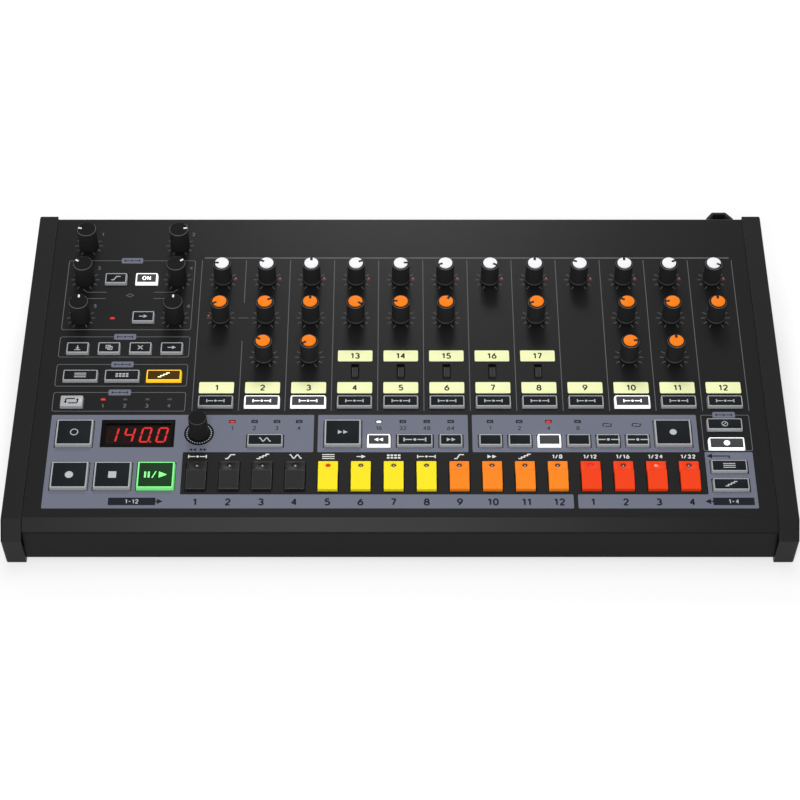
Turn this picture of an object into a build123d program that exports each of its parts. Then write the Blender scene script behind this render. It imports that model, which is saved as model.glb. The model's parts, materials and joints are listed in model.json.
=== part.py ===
"""Desktop analogue drum machine with a sloping control panel.

Millimetres, +Z up, +Y to the rear, operator in front at -Y.
The origin lies on the standing surface, under the middle of the whole outline.

The controls are laid out in the panel's own frame: x to the right, v up the slope
from the panel's front bend, w out of the panel's face. Every control part is
built there and then tilted into place with the panel.
"""

import os
from math import atan, cos, degrees, hypot, radians, sin, tan

from build123d import *

# ---- case -----------------------------------------------------------------------
case_width = 498.0  # over both end cheeks
cheek_thickness = 12.7
panel_length = 253.7  # along the slope, front bend to rear edge
panel_tilt = 6.0  # degrees, rear edge higher
panel_front_height = 37.2  # front bend above the standing surface
sheet = 1.2  # steel sheet of panel and base pan
sheet_bend = 1.6  # outside radius of a fold
bevel_run = 7.5  # front bevel, horizontally
bevel_drop = 7.0  # front bevel, vertically
front_lean = 2.0  # the front face leans this far back at its foot
front_gap = 4.0  # standing surface to the foot of the front face
lip = 12.0  # folded lips that take the case screws
rear_lip = 18.0
fit = 0.2  # clearance between parts of the case
cheek_nose_run = 12.2  # cheek nose in front of the panel's front bend
cheek_nose_drop = 9.9
cheek_foot_run = 6.25  # foot of the cheek's front, in front of the bend
cheek_top_run = 2.4
cheek_proud = 0.6  # cheek top above the panel face
cheek_floor_gap = 0.8
cheek_rear_proud = 1.0
cheek_edge = 1.2  # radius on the cheek's outer edges
cheek_screw_inset = 22.0
cheek_wall = 2.6
cheek_boss = 8.0
foot_diameter = 16.0
foot_inset_x = 34.0  # from the case's ends
foot_front = 16.0  # from the panel's front bend
foot_rear = 232.0

# ---- inside ---------------------------------------------------------------------
board_depth = 11.0  # panel face to the top of the main board
board_thickness = 1.6
board_margin = 8.0
standoff_width = 5.0
standoff_pitch = 148.0
rear_board_height = 19.0
rear_board_depth = 44.0

# ---- knobs ----------------------------------------------------------------------
shaft_diameter = 6.0
shaft_clearance = 0.1  # radial, in the potentiometer's bushing
shaft_engagement = 5.0
shaft_hole_gap = 0.6  # radial, in the panel
knob_lift = 0.6  # underside above the panel
knob_diameter = 12.2
knob_height = 16.6
cap_diameter = 9.5
cap_thickness = 0.9
pointer_width = 1.2
pointer_depth = 0.5
black_knob_diameter = 13.0
encoder_diameter = 12.4
knob_travel = 150.0  # degrees either way from 12 o'clock
pot_width = 9.8
pot_length = 11.2
pot_height = 6.6
shaft_end_gap = 0.4

# ---- keys -----------------------------------------------------------------------
key_gap = 0.35  # key to the edge of its panel opening
key_travel = 1.2
key_height = 2.0
key_depth = 9.6
small_key_width = 15.2
wide_key_width = 23.4
big_key_width = 24.0
big_key_depth = 21.0
big_key_height = 2.5
key_corner = 0.8
key_draft = 0.5  # a key narrows by this much on each side, up to its top
key_flange = 1.2  # retaining flange under the panel, on each side
key_flange_thickness = 1.3
key_play = 0.4  # flange below the sheet at rest
switch_width = 7.0
switch_height = 5.0
stem_width = 3.4
stem_gap = 0.3  # left above the switch at the end of the travel
step_key_width = 13.0
step_key_length = 23.0
step_travel = 1.5
ledge_length = 9.0
ledge_height = 1.0
pad_rear_height = 3.2
pad_front_height = 2.3
pad_front_lean = 0.9
pad_ramp = 0.6
pad_dish = 0.25
led_hole = 3.4
led_from_rear = 3.0
step_led_recess = 0.6

# ---- slide switches, indicators, display ---------------------------------------------
slot_width = 5.2
slot_length = 12.6
slider_length = 8.4
slider_height = 1.2
slide_gap = 0.3
slide_body_width = 9.0
slide_body_wall = 1.8
slider_bottom = -9.0
led_width = 3.2
led_depth = 1.6
led_proud = 0.1
led_gap = 0.2
step_led_diameter = 2.4
display_width = 46.4
display_depth = 21.4
display_recess = 0.3
window_plate = 1.6
module_margin = 1.5

# ---- control layout, in the panel's frame -------------------------------------------
channels = 12
channel_pitch = 30.0
first_channel_x = -119.5
level_row = 197.0
tone_row = 163.0
decay_row = 129.0
black_top_row = 228.0
tone_channels = (0, 1, 2, 3, 4, 5, 7, 9, 10, 11)
decay_channels = (1, 2, 9, 10)
switch_channels = (3, 4, 5, 6, 7)
voice_switch_v = 117.0
select_v = 90.9

left_x = -181.6  # middle of the left-hand block
effect_knob_spread = 62.5
effect_key_pitch = 20.7
edit_key_v = 135.9
mode_key_v = 112.4
mode_key_pitch = 27.3
sync_key_v = 90.8
sync_led_v = 93.6
sync_led_x = -192.6
led_pitch = 14.35
transport_v = 30.9
tap_x = -208.6
upper_key_v = 64.9  # big keys of the upper fascia
lower_key_v = 59.2  # small keys of the upper fascia
fascia_led_v = 75.2
display_x = -168.15
display_v = 65.45
encoder_x = -128.8
encoder_v = 65.6
data_led_x = -107.9
data_key_x = -86.3
scroll_x = -36.7
length_key_x = 9.5
length_key_pitch = 23.1
length_led_pitch = 15.4
repeat_key_x = 57.9
repeat_pitch = 18.8
repeat_keys = 6
trigger_x = 174.9
track_x = 208.6
track_rows = (72.0, 56.5, 38.5, 24.0)
step_key_x = -128.8
step_key_pitch = 20.8
step_key_v = 31.1
steps_per_colour = 4

voice_names = (
    "accent", "bass_drum", "snare_drum", "low_tom", "mid_tom", "high_tom",
    "rim_shot", "hand_clap", "cow_bell", "cymbal", "open_hat", "closed_hat",
)

# pointer angles at rest, clockwise from 12 o'clock
level_angles = (-90, -60, 0, 65, 90, -110, 115, 0, -65, 0, 65, 115)
tone_angles = (-115, 60, 0, 120, -90, 30, -110, -60, -90, 0)
decay_angles = (-60, -120, 90, 0)
black_angles = (-80, 80, -60, 55, 0, 0)

# ---- rear connectors ------------------------------------------------------------------
jack_count = 13
jack_pitch = 17.0
first_jack_x = -20.0
jack_bore = 6.5
jack_depth = 20.0
jack_thread = 9.0
jack_nut = 12.0
jack_nut_thickness = 2.2
jack_body = 13.0
jack_body_depth = 22.0
mini_jack_count = 5
mini_jack_pitch = 12.0
mini_jack_x = 0.0
mini_jack_bore = 3.6
mini_jack_thread = 6.0
mini_jack_nut = 8.0
mini_jack_nut_thickness = 1.6
mini_jack_body = 9.0
mini_jack_body_depth = 14.0
mini_jack_depth = 13.0
din_count = 3
din_pitch = 23.0
din_x = 69.0
din_shell = 15.4
din_core = 10.6
din_groove = 13.4
din_groove_depth = 7.0
din_body = 19.0
din_body_depth = 11.0
din_poles = 5
din_pole_hole = 1.5
din_pole_circle = 7.5
usb_x = 141.0
usb_width = 12.0
usb_height = 10.8
usb_wall = 1.2
usb_tongue_width = 5.7
usb_tongue_height = 3.2
usb_socket_depth = 9.0
usb_body_depth = 15.0
rocker_x = 172.0
rocker_width = 12.0
rocker_length = 19.0
rocker_tilt = 12.0
rocker_skirt = 20.0  # degrees, how far the curved ends reach below the pivot
rocker_gap = 0.5
rocker_pin = 2.4
rocker_pin_length = 1.2
rocker_pivot = -1.5
bezel_wall = 2.0
bezel_proud = 1.6
inlet_x = 200.0
inlet_shell = 9.0
inlet_bore = 6.4
inlet_pin = 2.0
inlet_depth = 9.0
inlet_body = 11.0
inlet_body_depth = 13.0
connector_proud = 1.0

# ---- cable hook at the power inlet ------------------------------------------------------
hook_x = 222.7
hook_width = 18.8
hook_reach = 16.0
hook_shoulder = 9.5  # the loop narrows from here to its flat end
hook_flat = 9.4
hook_strap = 2.0
hook_height = 8.0
hook_below_top = 8.5

# ---- case screws -----------------------------------------------------------------------
screw_head = 5.6
screw_head_height = 1.8
screw_shank = 3.0
screw_length = 6.0
screw_columns = 3

# ---- derived places ----------------------------------------------------------------------
# heights and depths of the case are measured from the panel's front bend and the floor
tilt = radians(panel_tilt)
rear_run = panel_length * cos(tilt)
rear_height = panel_front_height + panel_length * sin(tilt)
foot_y = front_lean - bevel_run
pan_floor = front_gap + sheet
pan_back = rear_run - sheet
cheek_rear = rear_run + cheek_rear_proud
inner_width = case_width - 2 * cheek_thickness
cheek_screw_places = (
    (cheek_screw_inset, pan_floor + cheek_boss),
    (rear_run - cheek_screw_inset, pan_floor + cheek_boss),
)

board_top = -board_depth
switch_top = board_top + switch_height
pot_top = board_top + pot_height
shaft_bottom = pot_top - shaft_engagement
rocker_radius = rocker_length / 2
rocker_reach = rocker_radius * sin(radians(rocker_skirt + rocker_tilt))
rocker_floor = rocker_pivot - rocker_reach - rocker_gap
rocker_seat_width = rocker_length + 2 * rocker_gap
rocker_seat_height = rocker_width + 2 * rocker_gap

# the whole outline is centred on y, from the cheek noses to the cable hook
case_place = Pos(0, (cheek_nose_run - rear_run - hook_reach) / 2, 0)
panel_plane = Plane(
    origin=(0, 0, panel_front_height),
    x_dir=(1, 0, 0),
    z_dir=(0, -sin(tilt), cos(tilt)),
)
panel_place = panel_plane.location
rear_plane = Plane(
    origin=(0, pan_back, rear_board_height),
    x_dir=(-1, 0, 0),
    z_dir=(0, 1, 0),
)


def channel_x(channel):
    """Middle of a voice channel."""
    return first_channel_x + channel * channel_pitch


def row_x(middle, pitch, count):
    """Evenly spaced places about a middle."""
    return [middle + (i - (count - 1) / 2) * pitch for i in range(count)]


# ---- where each kind of control sits ------------------------------------------------------
level_places = [(channel_x(c), level_row) for c in range(channels)]
tone_places = [(channel_x(c), tone_row) for c in tone_channels]
decay_places = [(channel_x(c), decay_row) for c in decay_channels]
black_places = [
    (x, v)
    for v in (black_top_row, level_row, tone_row)
    for x in row_x(left_x, effect_knob_spread, 2)
]
knob_places = level_places + tone_places + decay_places + black_places
knob_places.append((encoder_x, encoder_v))

select_places = [(channel_x(c), select_v) for c in range(channels)]
voice_switch_places = [(channel_x(c), voice_switch_v) for c in switch_channels]
transport_places = [(x, transport_v) for x in row_x(left_x, mode_key_pitch, 3)]
pad_places = [(x, upper_key_v) for x in (tap_x, scroll_x, trigger_x)]

effect_x = row_x(left_x, effect_key_pitch, 4)
length_x = row_x(length_key_x, length_key_pitch, 3)
small_places = [(x, level_row) for x in effect_x[1:3]]
small_places.append((effect_x[2], tone_row))
small_places += [(x, edit_key_v) for x in effect_x]
small_places.append((effect_x[0], sync_key_v))
small_places += [(length_x[0], lower_key_v), (length_x[2], lower_key_v)]
small_places += [
    (repeat_key_x + i * repeat_pitch, lower_key_v) for i in range(repeat_keys)
]
wide_places = [(x, mode_key_v) for x in row_x(left_x, mode_key_pitch, 3)]
wide_places += [(data_key_x, lower_key_v), (length_x[1], lower_key_v)]
wide_places += [(track_x, v) for v in track_rows]

step_places = [
    (step_key_x + i * step_key_pitch, step_key_v) for i in range(4 * steps_per_colour)
]
step_led_v = step_key_v + step_key_length / 2 - led_from_rear

led_places = [(effect_x[1], tone_row)]
led_places += [(sync_led_x + i * led_pitch, sync_led_v) for i in range(4)]
led_places += [(data_led_x + i * led_pitch, fascia_led_v) for i in range(4)]
led_places += [
    (length_x[0] + i * length_led_pitch, fascia_led_v) for i in range(4)
]
led_places += [(repeat_key_x + i * repeat_pitch, fascia_led_v) for i in range(4)]


standoff_places = [(x, v) for v in (12.0, 240.0) for x in row_x(0, standoff_pitch, 4)]
standoff_places += [(x, 104.0) for x in (-137.5, -14.5, 105.5, 222.0)]
standoff_places.append((-222.0, 148.0))


# ---- small shape helpers ------------------------------------------------------------------
def block(width, depth, low, high, x=0.0, v=0.0):
    """A plain block between two heights."""
    return Pos(x, v, low) * extrude(Rectangle(width, depth), amount=high - low)


def disc(diameter, low, high, x=0.0, v=0.0):
    """An upright round bar between two heights."""
    return Pos(x, v, low) * extrude(Circle(diameter / 2), amount=high - low)


def facet_bar(diameter, low, high):
    """An eight-sided bar within a circle: a shaft or neck that stays hidden."""
    return Pos(0, 0, low) * extrude(RegularPolygon(diameter / 2, 8), amount=high - low)


def facet_hole(diameter, low, high):
    """An eight-sided prism around a circle: a hole that stays hidden."""
    outline = RegularPolygon(diameter / 2, 8, major_radius=False)
    return Pos(0, 0, low) * extrude(outline, amount=high - low)


def side_face(points):
    """A face in the y-z plane from its corners."""
    return make_face(Plane.YZ * Polyline(*points, close=True))


def along_x(face, width, x=0.0):
    """A y-z face made into a prism of this width about x."""
    return Pos(x - width / 2, 0, 0) * extrude(face, amount=width, dir=(1, 0, 0))


def at(places, solid):
    """Copies of a solid at places on the panel."""
    return [panel_place * Pos(x, v, 0) * solid for x, v in places]


def write(name, solids):
    """Write one sub-part, all of its separate pieces together."""
    placed = [piece for solid in solids for piece in (case_place * solid).solids()]
    export_step(Compound(placed), f"parts/{name}.step")


# ---- case ---------------------------------------------------------------------------------
def folded(points, width):
    """A folded sheet along x, from the outer side of its section."""
    line = FilletPolyline(*points, radius=sheet_bend)
    strip = offset(line, amount=sheet, side=Side.LEFT)
    return along_x(make_face(Plane.YZ * strip), width)


def panel_cutouts():
    """Every opening in the panel, as prisms through the sheet."""
    through = (-2 * sheet, sheet)
    cuts = at(knob_places, facet_hole(shaft_diameter + 2 * shaft_hole_gap, *through))
    for places, width, depth, gap in (
        (select_places + wide_places, wide_key_width, key_depth, key_gap),
        (small_places, small_key_width, key_depth, key_gap),
        (transport_places + pad_places, big_key_width, big_key_depth, key_gap),
        (step_places, step_key_width, step_key_length, key_gap),
        (led_places, led_width, led_depth, led_gap),
        ([(display_x, display_v)], display_width, display_depth, fit),
        (voice_switch_places, slot_width, slot_length, 0),
    ):
        wide, deep = width + 2 * gap, depth + 2 * gap
        cuts += at(places, block(wide, deep, *through))
    return cuts


def top_panel():
    """The folded steel panel: face, bevel, front and its two lips."""
    outline = [
        (rear_run, rear_height - rear_lip),
        (rear_run, rear_height),
        (0, panel_front_height),
        (-bevel_run, panel_front_height - bevel_drop),
        (foot_y, front_gap),
        (foot_y + lip, front_gap),
    ]
    shell = folded(outline, inner_width - 2 * fit)
    return shell - screw_holes() - panel_cutouts()


def under_panel(y):
    """Height of the pan's upper edge, just under the sloping sheet."""
    return panel_front_height + y * tan(tilt) - sheet_bend / cos(tilt) - fit


def base_pan():
    """Steel tray that closes the case: a floor and four walls turned up from it."""
    front = foot_y + sheet_bend + fit
    slope = bevel_drop / bevel_run
    under_bevel = panel_front_height + front * slope - sheet * hypot(1, slope) - fit
    side = side_face(
        [
            (front, pan_floor),
            (front, under_bevel),
            (sheet, under_panel(sheet)),
            (pan_back, under_panel(pan_back)),
            (pan_back, pan_floor),
        ]
    )
    inside = side_face(
        [
            (front + sheet, pan_floor + sheet),
            (front + sheet, 2 * rear_height),
            (pan_back - sheet, 2 * rear_height),
            (pan_back - sheet, pan_floor + sheet),
        ]
    )
    width = inner_width - 2 * fit
    tray = along_x(side, width) - along_x(inside, width - 2 * sheet)
    tray -= screw_holes()
    return tray - rear_holes()


def cheek(side):
    """Moulded end cheek, open towards the case, with its screw bosses."""
    top = cheek_proud / cos(tilt)
    profile = side_face(
        [
            (-cheek_top_run, panel_front_height - cheek_top_run * tan(tilt) + top),
            (-cheek_nose_run, panel_front_height - cheek_nose_drop),
            (-cheek_foot_run, cheek_floor_gap),
            (cheek_rear, cheek_floor_gap),
            (cheek_rear, panel_front_height + cheek_rear * tan(tilt) + top),
        ]
    )
    inner_x = side * inner_width / 2
    body = Pos(inner_x, 0, 0) * extrude(profile, amount=cheek_thickness, dir=(side, 0, 0))
    rim = body.faces().sort_by(Axis.X)[-1 if side > 0 else 0].edges()
    body = fillet(rim, radius=cheek_edge)
    hollow = offset(profile, amount=-cheek_wall)
    pocket_depth = cheek_thickness - cheek_wall
    body -= Pos(inner_x, 0, 0) * extrude(hollow, amount=pocket_depth, dir=(side, 0, 0))
    boss = facet_bar(cheek_boss, 0, pocket_depth)
    boss -= facet_hole(screw_shank + 2 * fit, 0, pocket_depth)
    for y, z in cheek_screw_places:
        body += Pos(inner_x, y, z) * Rot(0, side * 90, 0) * boss
    return body


def foot(x, y):
    """Round rubber foot under the pan's floor."""
    return disc(foot_diameter, 0, pan_floor, x, y)


def foot_places():
    """Two feet under the front, two under the rear."""
    span = case_width / 2 - foot_inset_x
    return [(x, y) for y in (foot_front, foot_rear) for x in (-span, span)]


# ---- screws -------------------------------------------------------------------------------
def screw_seats():
    """Where each case screw's head bears, as frames that point out of the case."""
    seats = [
        Pos(x, rear_run, rear_height - rear_lip / 2) * Rot(-90, 0, 0)
        for x in row_x(0, inner_width / screw_columns, screw_columns)
    ]
    seats += [
        Pos(x, foot_y + lip - screw_head / 2 - fit, front_gap) * Rot(180, 0, 0)
        for x in row_x(0, inner_width / screw_columns, screw_columns)
    ]
    inside = inner_width / 2 - fit - sheet
    for side in (-1, 1):
        seats += [
            Pos(side * inside, y, z) * Rot(0, -side * 90, 0)
            for y, z in cheek_screw_places
        ]
    hook_middle = rear_height - hook_below_top - hook_height / 2
    seats.append(Pos(hook_x, rear_run + hook_strap, hook_middle) * Rot(-90, 0, 0))
    return seats


def screw():
    """Pan-head screw, head above its seat."""
    head = disc(screw_head, 0, screw_head_height)
    return head + facet_bar(screw_shank, -screw_length, 0)


def screw_holes():
    """Clearance holes for every case screw."""
    hole = facet_hole(screw_shank + 2 * fit, -screw_length, screw_length)
    return [seat * hole for seat in screw_seats()]


# ---- inside the case ------------------------------------------------------------------------
def circuit_boards():
    """The main board under the panel and the connector board at the rear."""
    length = panel_length - 2 * board_margin
    main_board = block(
        inner_width - 2 * board_margin,
        length,
        board_top - board_thickness,
        board_top,
        0,
        panel_length / 2,
    )
    y = pan_back - sheet - fit - rear_board_depth / 2
    rear_board = block(
        inner_width - 2 * board_margin,
        rear_board_depth,
        rear_board_height - board_thickness,
        rear_board_height,
        0,
        y,
    )
    return [panel_place * main_board, rear_board]


def standoffs():
    """Spacers that carry the boards from the panel and the pan."""
    hexagon = RegularPolygon(standoff_width / 2, 6, major_radius=False)
    spacer = Pos(0, 0, board_top) * extrude(hexagon, board_depth - sheet)
    low, high = pan_floor + sheet, rear_board_height - board_thickness
    y = pan_back - sheet - fit - rear_board_depth + standoff_width
    short = Pos(0, y, low) * extrude(hexagon, high - low)
    rear = [Pos(x, 0, 0) * short for x in row_x(0, standoff_pitch, 4)]
    return at(standoff_places, spacer) + rear


def potentiometer():
    """Board-mounted potentiometer with its bushing bore."""
    body = block(pot_width, pot_length, board_top, pot_top)
    low = shaft_bottom - shaft_end_gap
    return body - facet_hole(shaft_diameter + 2 * shaft_clearance, low, 0)


def key_switch():
    """Push switch under the stem of a key."""
    return block(switch_width, switch_width, board_top, switch_top)


def slide_switch_body():
    """Housing in which a voice switch slides."""
    body = block(slide_body_width, slot_length + 2 * slide_body_wall, board_top, pot_top)
    slot = block(slot_width, slot_length, slider_bottom - slide_gap, 0)
    return body - slot


def indicators():
    """Rectangular lights in the panel and round ones under the step keys' ledges."""
    lamp = block(led_width, led_depth, board_top, led_proud)
    round_lamp = facet_bar(step_led_diameter, board_top, ledge_height - step_led_recess)
    round_places = [(x, step_led_v) for x, _ in step_places]
    return at(led_places, lamp) + at(round_places, round_lamp)


def display_parts():
    """The smoked window and the digit module behind it."""
    top = -display_recess
    window = block(display_width, display_depth, top - window_plate, top, display_x, display_v)
    module = block(
        display_width - 2 * module_margin,
        display_depth - 2 * module_margin,
        board_top,
        top - window_plate,
        display_x,
        display_v,
    )
    return window, module


# ---- knobs ----------------------------------------------------------------------------------
def knob_body(diameter, height):
    """Turned grip and the shaft that carries it in its potentiometer."""
    return disc(diameter, knob_lift, height) + facet_bar(shaft_diameter, shaft_bottom, knob_lift)


def capped_knob(angle):
    """Knob with a coloured cap, whose notch is the pointer."""
    cap = disc(cap_diameter, knob_height, knob_height + cap_thickness)
    cap -= pointer(cap_diameter / 2, knob_height, angle)
    return Compound([knob_body(knob_diameter, knob_height), cap])


def black_knob(angle):
    """One-piece knob with a pointer groove in its top."""
    height = knob_height + cap_thickness / 2
    notch = pointer(black_knob_diameter / 2, height - pointer_depth, angle)
    return knob_body(black_knob_diameter, height) - notch


def pointer(radius, floor, angle):
    """Notch from the rim towards the middle, turned clockwise from 12 o'clock."""
    notch = block(pointer_width, radius, floor, floor + 2 * cap_thickness, 0, radius)
    return Rot(0, 0, -angle) * notch


# ---- keys -----------------------------------------------------------------------------------
def key_foot(width, depth, travel):
    """Retaining flange under the panel and the stem above the switch."""
    high = -sheet - key_play
    low = high - key_flange_thickness
    flange = block(width + 2 * key_flange, depth + 2 * key_flange, low, high)
    return flange + block(stem_width, stem_width, switch_top + travel + stem_gap, low)


def flat_key(width, depth, height):
    """Moulded key with bevelled corners and drafted sides."""
    outline = chamfer(Rectangle(width, depth).vertices(), length=key_corner)
    collar = -sheet - key_play
    body = Pos(0, 0, collar) * extrude(outline, amount=-collar)
    slope = degrees(atan(key_draft / height))
    body += extrude(outline, amount=height, taper=slope)
    return body + key_foot(width, depth, key_travel)


def step_key():
    """Moulded step key: low ledge with its light well, raised and dished finger pad."""
    front, rear = -step_key_length / 2, step_key_length / 2
    pad_rear = rear - ledge_length
    pad_front = front + pad_front_lean
    collar = -sheet - key_play
    dish = ((pad_front + pad_rear) / 2, (pad_front_height + pad_rear_height) / 2 - pad_dish)
    outline = Polyline(
        (pad_rear, pad_rear_height),
        (pad_rear + pad_ramp, ledge_height),
        (rear, ledge_height),
        (rear, collar),
        (front, collar),
        (front, 0),
        (pad_front, pad_front_height),
    )
    face = ThreePointArc((pad_front, pad_front_height), dish, (pad_rear, pad_rear_height))
    body = along_x(make_face(Plane.YZ * (outline + face)), step_key_width)
    body += key_foot(step_key_width, step_key_length, step_travel)
    low = 2 * collar - key_flange_thickness
    return body - disc(led_hole, low, pad_rear_height, 0, step_led_v - step_key_v)


def voice_slider():
    """Slide switch lever with two finger grooves, at the lower end of its slot."""
    half = slider_length / 2
    groove = slider_height / 2
    outline = [(-half, slider_bottom), (-half, slider_height)]
    for v in (-half / 3, half / 3):
        outline += [(v - groove, slider_height), (v, groove), (v + groove, slider_height)]
    outline += [(half, slider_height), (half, slider_bottom)]
    lever = along_x(side_face(outline), slot_width - 2 * slide_gap)
    return Pos(0, slider_length / 2 + slide_gap - slot_length / 2, 0) * lever


# ---- rear connectors --------------------------------------------------------------------------
def on_board(x, height):
    """Place of a connector: x along the rear, its middle above the rear board."""
    return rear_plane.location * Pos(-x, height / 2, 0)


def jack(bore, depth, thread, nut, nut_thickness, body_width, body_depth):
    """Panel jack: board-mounted body, neck through the wall, nut and bore."""
    solid = block(body_width, body_width, -sheet - body_depth, -sheet)
    solid += facet_bar(thread, -sheet, 0)
    solid += extrude(RegularPolygon(nut / 2, 6, major_radius=False), nut_thickness)
    return solid - disc(bore, -depth, 2 * nut_thickness)


def din_socket():
    """Round five-pole socket: shell, groove for the plug's collar and inner core."""
    solid = block(din_body, din_body, -sheet - din_body_depth, -sheet)
    solid += disc(din_shell, -sheet, connector_proud)
    groove = disc(din_groove, connector_proud - din_groove_depth, 2 * connector_proud)
    groove -= disc(din_core, connector_proud - din_groove_depth, 2 * connector_proud)
    solid -= groove
    pole = facet_hole(din_pole_hole, connector_proud - din_groove_depth, 2 * connector_proud)
    for i in range(din_poles):
        angle = radians(180 * i / (din_poles - 1))
        solid -= Pos(din_pole_circle / 2 * cos(angle), din_pole_circle / 2 * sin(angle), 0) * pole
    return solid


def usb_socket():
    """Square data socket with its tongue."""
    solid = block(usb_width, usb_height, -sheet - usb_body_depth, connector_proud)
    hollow = block(
        usb_width - 2 * usb_wall,
        usb_height - 2 * usb_wall,
        connector_proud - usb_socket_depth,
        2 * connector_proud,
    )
    hollow -= block(
        usb_tongue_width,
        usb_tongue_height,
        connector_proud - usb_socket_depth,
        0,
    )
    return solid - hollow


def power_inlet():
    """Barrel inlet with its centre pin."""
    solid = block(inlet_body, inlet_body, -sheet - inlet_body_depth, -sheet)
    solid += disc(inlet_shell, -sheet, connector_proud)
    bore = disc(inlet_bore, connector_proud - inlet_depth, 2 * connector_proud)
    bore -= disc(inlet_pin, connector_proud - inlet_depth, 0)
    return solid - bore


def switch_housing():
    """Housing and bezel in which the power rocker tilts."""
    wide, high, wall = rocker_seat_width, rocker_seat_height, bezel_wall
    solid = block(wide + 2 * wall, high + 2 * wall, rocker_floor - wall, -sheet)
    solid += block(wide + wall, high + wall, -sheet, 0)
    solid += block(wide + 3 * wall, high + 3 * wall, 0, bezel_proud)
    solid -= block(wide, high, rocker_floor, 2 * bezel_proud)
    pin_length = rocker_width + 2 * (rocker_pin_length + fit)
    pin = Cylinder(rocker_pin / 2 + shaft_clearance, pin_length)
    return solid - Pos(0, 0, rocker_pivot) * Rot(90, 0, 0) * pin


def power_rocker():
    """Rocker with curved ends about its pivot, tilted to its on position."""
    high, low = radians(2 * rocker_tilt), radians(-rocker_skirt)
    right = (rocker_radius * cos(high), rocker_radius * sin(high))
    foot_right = (rocker_radius * cos(low), rocker_radius * sin(low))
    left, foot_left = (-right[0], right[1]), (-foot_right[0], foot_right[1])
    valley = (0, right[1] - right[0] * tan(radians(rocker_tilt)))
    outline = Polyline(right, valley, left)
    outline += ThreePointArc(left, (-rocker_radius, 0), foot_left)
    outline += Line(foot_left, foot_right)
    outline += ThreePointArc(foot_right, (rocker_radius, 0), right)
    wedge = extrude(Plane.XZ * make_face(outline), amount=rocker_width / 2, both=True)
    pin = Rot(90, 0, 0) * Cylinder(rocker_pin / 2, rocker_width + 2 * rocker_pin_length)
    rocker = Pos(0, 0, rocker_pivot) * Rot(0, rocker_tilt, 0) * (wedge + pin)
    return on_board(rocker_x, rocker_seat_height + 2 * bezel_wall) * rocker


def connector_layout():
    """Each kind of rear connector: (solid, neck hole, x places, height of its body)."""
    wide = rocker_seat_width + bezel_wall + 2 * fit
    high = rocker_seat_height + bezel_wall + 2 * fit
    through = (-3 * sheet, sheet)
    return [
        (
            jack(jack_bore, jack_depth, jack_thread, jack_nut, jack_nut_thickness,
                 jack_body, jack_body_depth),
            facet_hole(jack_thread + 2 * fit, *through),
            [first_jack_x - i * jack_pitch for i in range(jack_count)],
            jack_body,
        ),
        (
            jack(mini_jack_bore, mini_jack_depth, mini_jack_thread, mini_jack_nut,
                 mini_jack_nut_thickness, mini_jack_body, mini_jack_body_depth),
            facet_hole(mini_jack_thread + 2 * fit, *through),
            [mini_jack_x + i * mini_jack_pitch for i in range(mini_jack_count)],
            mini_jack_body,
        ),
        (
            din_socket(),
            disc(din_shell + 2 * fit, *through),
            [din_x + i * din_pitch for i in range(din_count)],
            din_body,
        ),
        (
            usb_socket(),
            block(usb_width + 2 * fit, usb_height + 2 * fit, *through),
            [usb_x],
            usb_height,
        ),
        (
            switch_housing(),
            block(wide, high, *through),
            [rocker_x],
            rocker_seat_height + 2 * bezel_wall,
        ),
        (
            power_inlet(),
            disc(inlet_shell + 2 * fit, *through),
            [inlet_x],
            inlet_body,
        ),
    ]


def rear_connectors():
    """Every connector along the rear wall, standing on the rear board."""
    return [
        on_board(x, height) * solid
        for solid, _, places, height in connector_layout()
        for x in places
    ]


def rear_holes():
    """Openings in the rear wall, one for each connector's neck."""
    return [
        on_board(x, height) * hole
        for _, hole, places, height in connector_layout()
        for x in places
    ]


def cable_hook():
    """Shouldered loop beside the power inlet that the supply's lead is looped through."""
    half, flat = hook_width / 2, hook_flat / 2
    outline = [
        (-half, 0),
        (half, 0),
        (half, hook_shoulder),
        (flat, hook_reach),
        (-flat, hook_reach),
        (-half, hook_shoulder),
    ]
    loop = make_face(Polyline(*outline, close=True))
    outer = fillet(loop.vertices(), radius=hook_strap / 2)
    ring = outer - offset(loop, amount=-hook_strap)
    low = rear_height - hook_below_top - hook_height
    hook = Pos(hook_x, rear_run, low) * extrude(ring, amount=hook_height)
    return hook - screw_holes()


# ---- assembly ---------------------------------------------------------------------------------
def write_knobs():
    """Every rotary control is a sub-part of its own."""
    for kind, places, voices, angles in (
        ("level", level_places, range(channels), level_angles),
        ("tone", tone_places, tone_channels, tone_angles),
        ("decay", decay_places, decay_channels, decay_angles),
    ):
        for place, voice, angle in zip(places, voices, angles):
            write(f"{voice_names[voice]}_{kind}_knob", at([place], capped_knob(angle)))
    for i, (place, angle) in enumerate(zip(black_places, black_angles)):
        write(f"effect_knob_{i + 1}", at([place], black_knob(angle)))
    encoder = knob_body(encoder_diameter, knob_height)
    write("data_encoder_knob", at([(encoder_x, encoder_v)], encoder))


def write_keys():
    """Keys and slide levers; those of one kind travel together as one sub-part."""
    small = flat_key(small_key_width, key_depth, key_height)
    wide = flat_key(wide_key_width, key_depth, key_height)
    big = flat_key(big_key_width, big_key_depth, big_key_height)
    write("select_keys", at(select_places, wide))
    write("function_keys", at(small_places, small) + at(wide_places, wide))
    write("pad_keys", at(pad_places, big))
    for name, place in zip(("record_key", "stop_key", "play_key"), transport_places):
        write(name, at([place], big))
    for i, colour in enumerate(("black", "yellow", "orange", "red")):
        group = step_places[i * steps_per_colour : (i + 1) * steps_per_colour]
        write(f"step_keys_{colour}", at(group, step_key()))
    write("voice_switches", at(voice_switch_places, voice_slider()))
    write("power_rocker", [power_rocker()])


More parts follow.
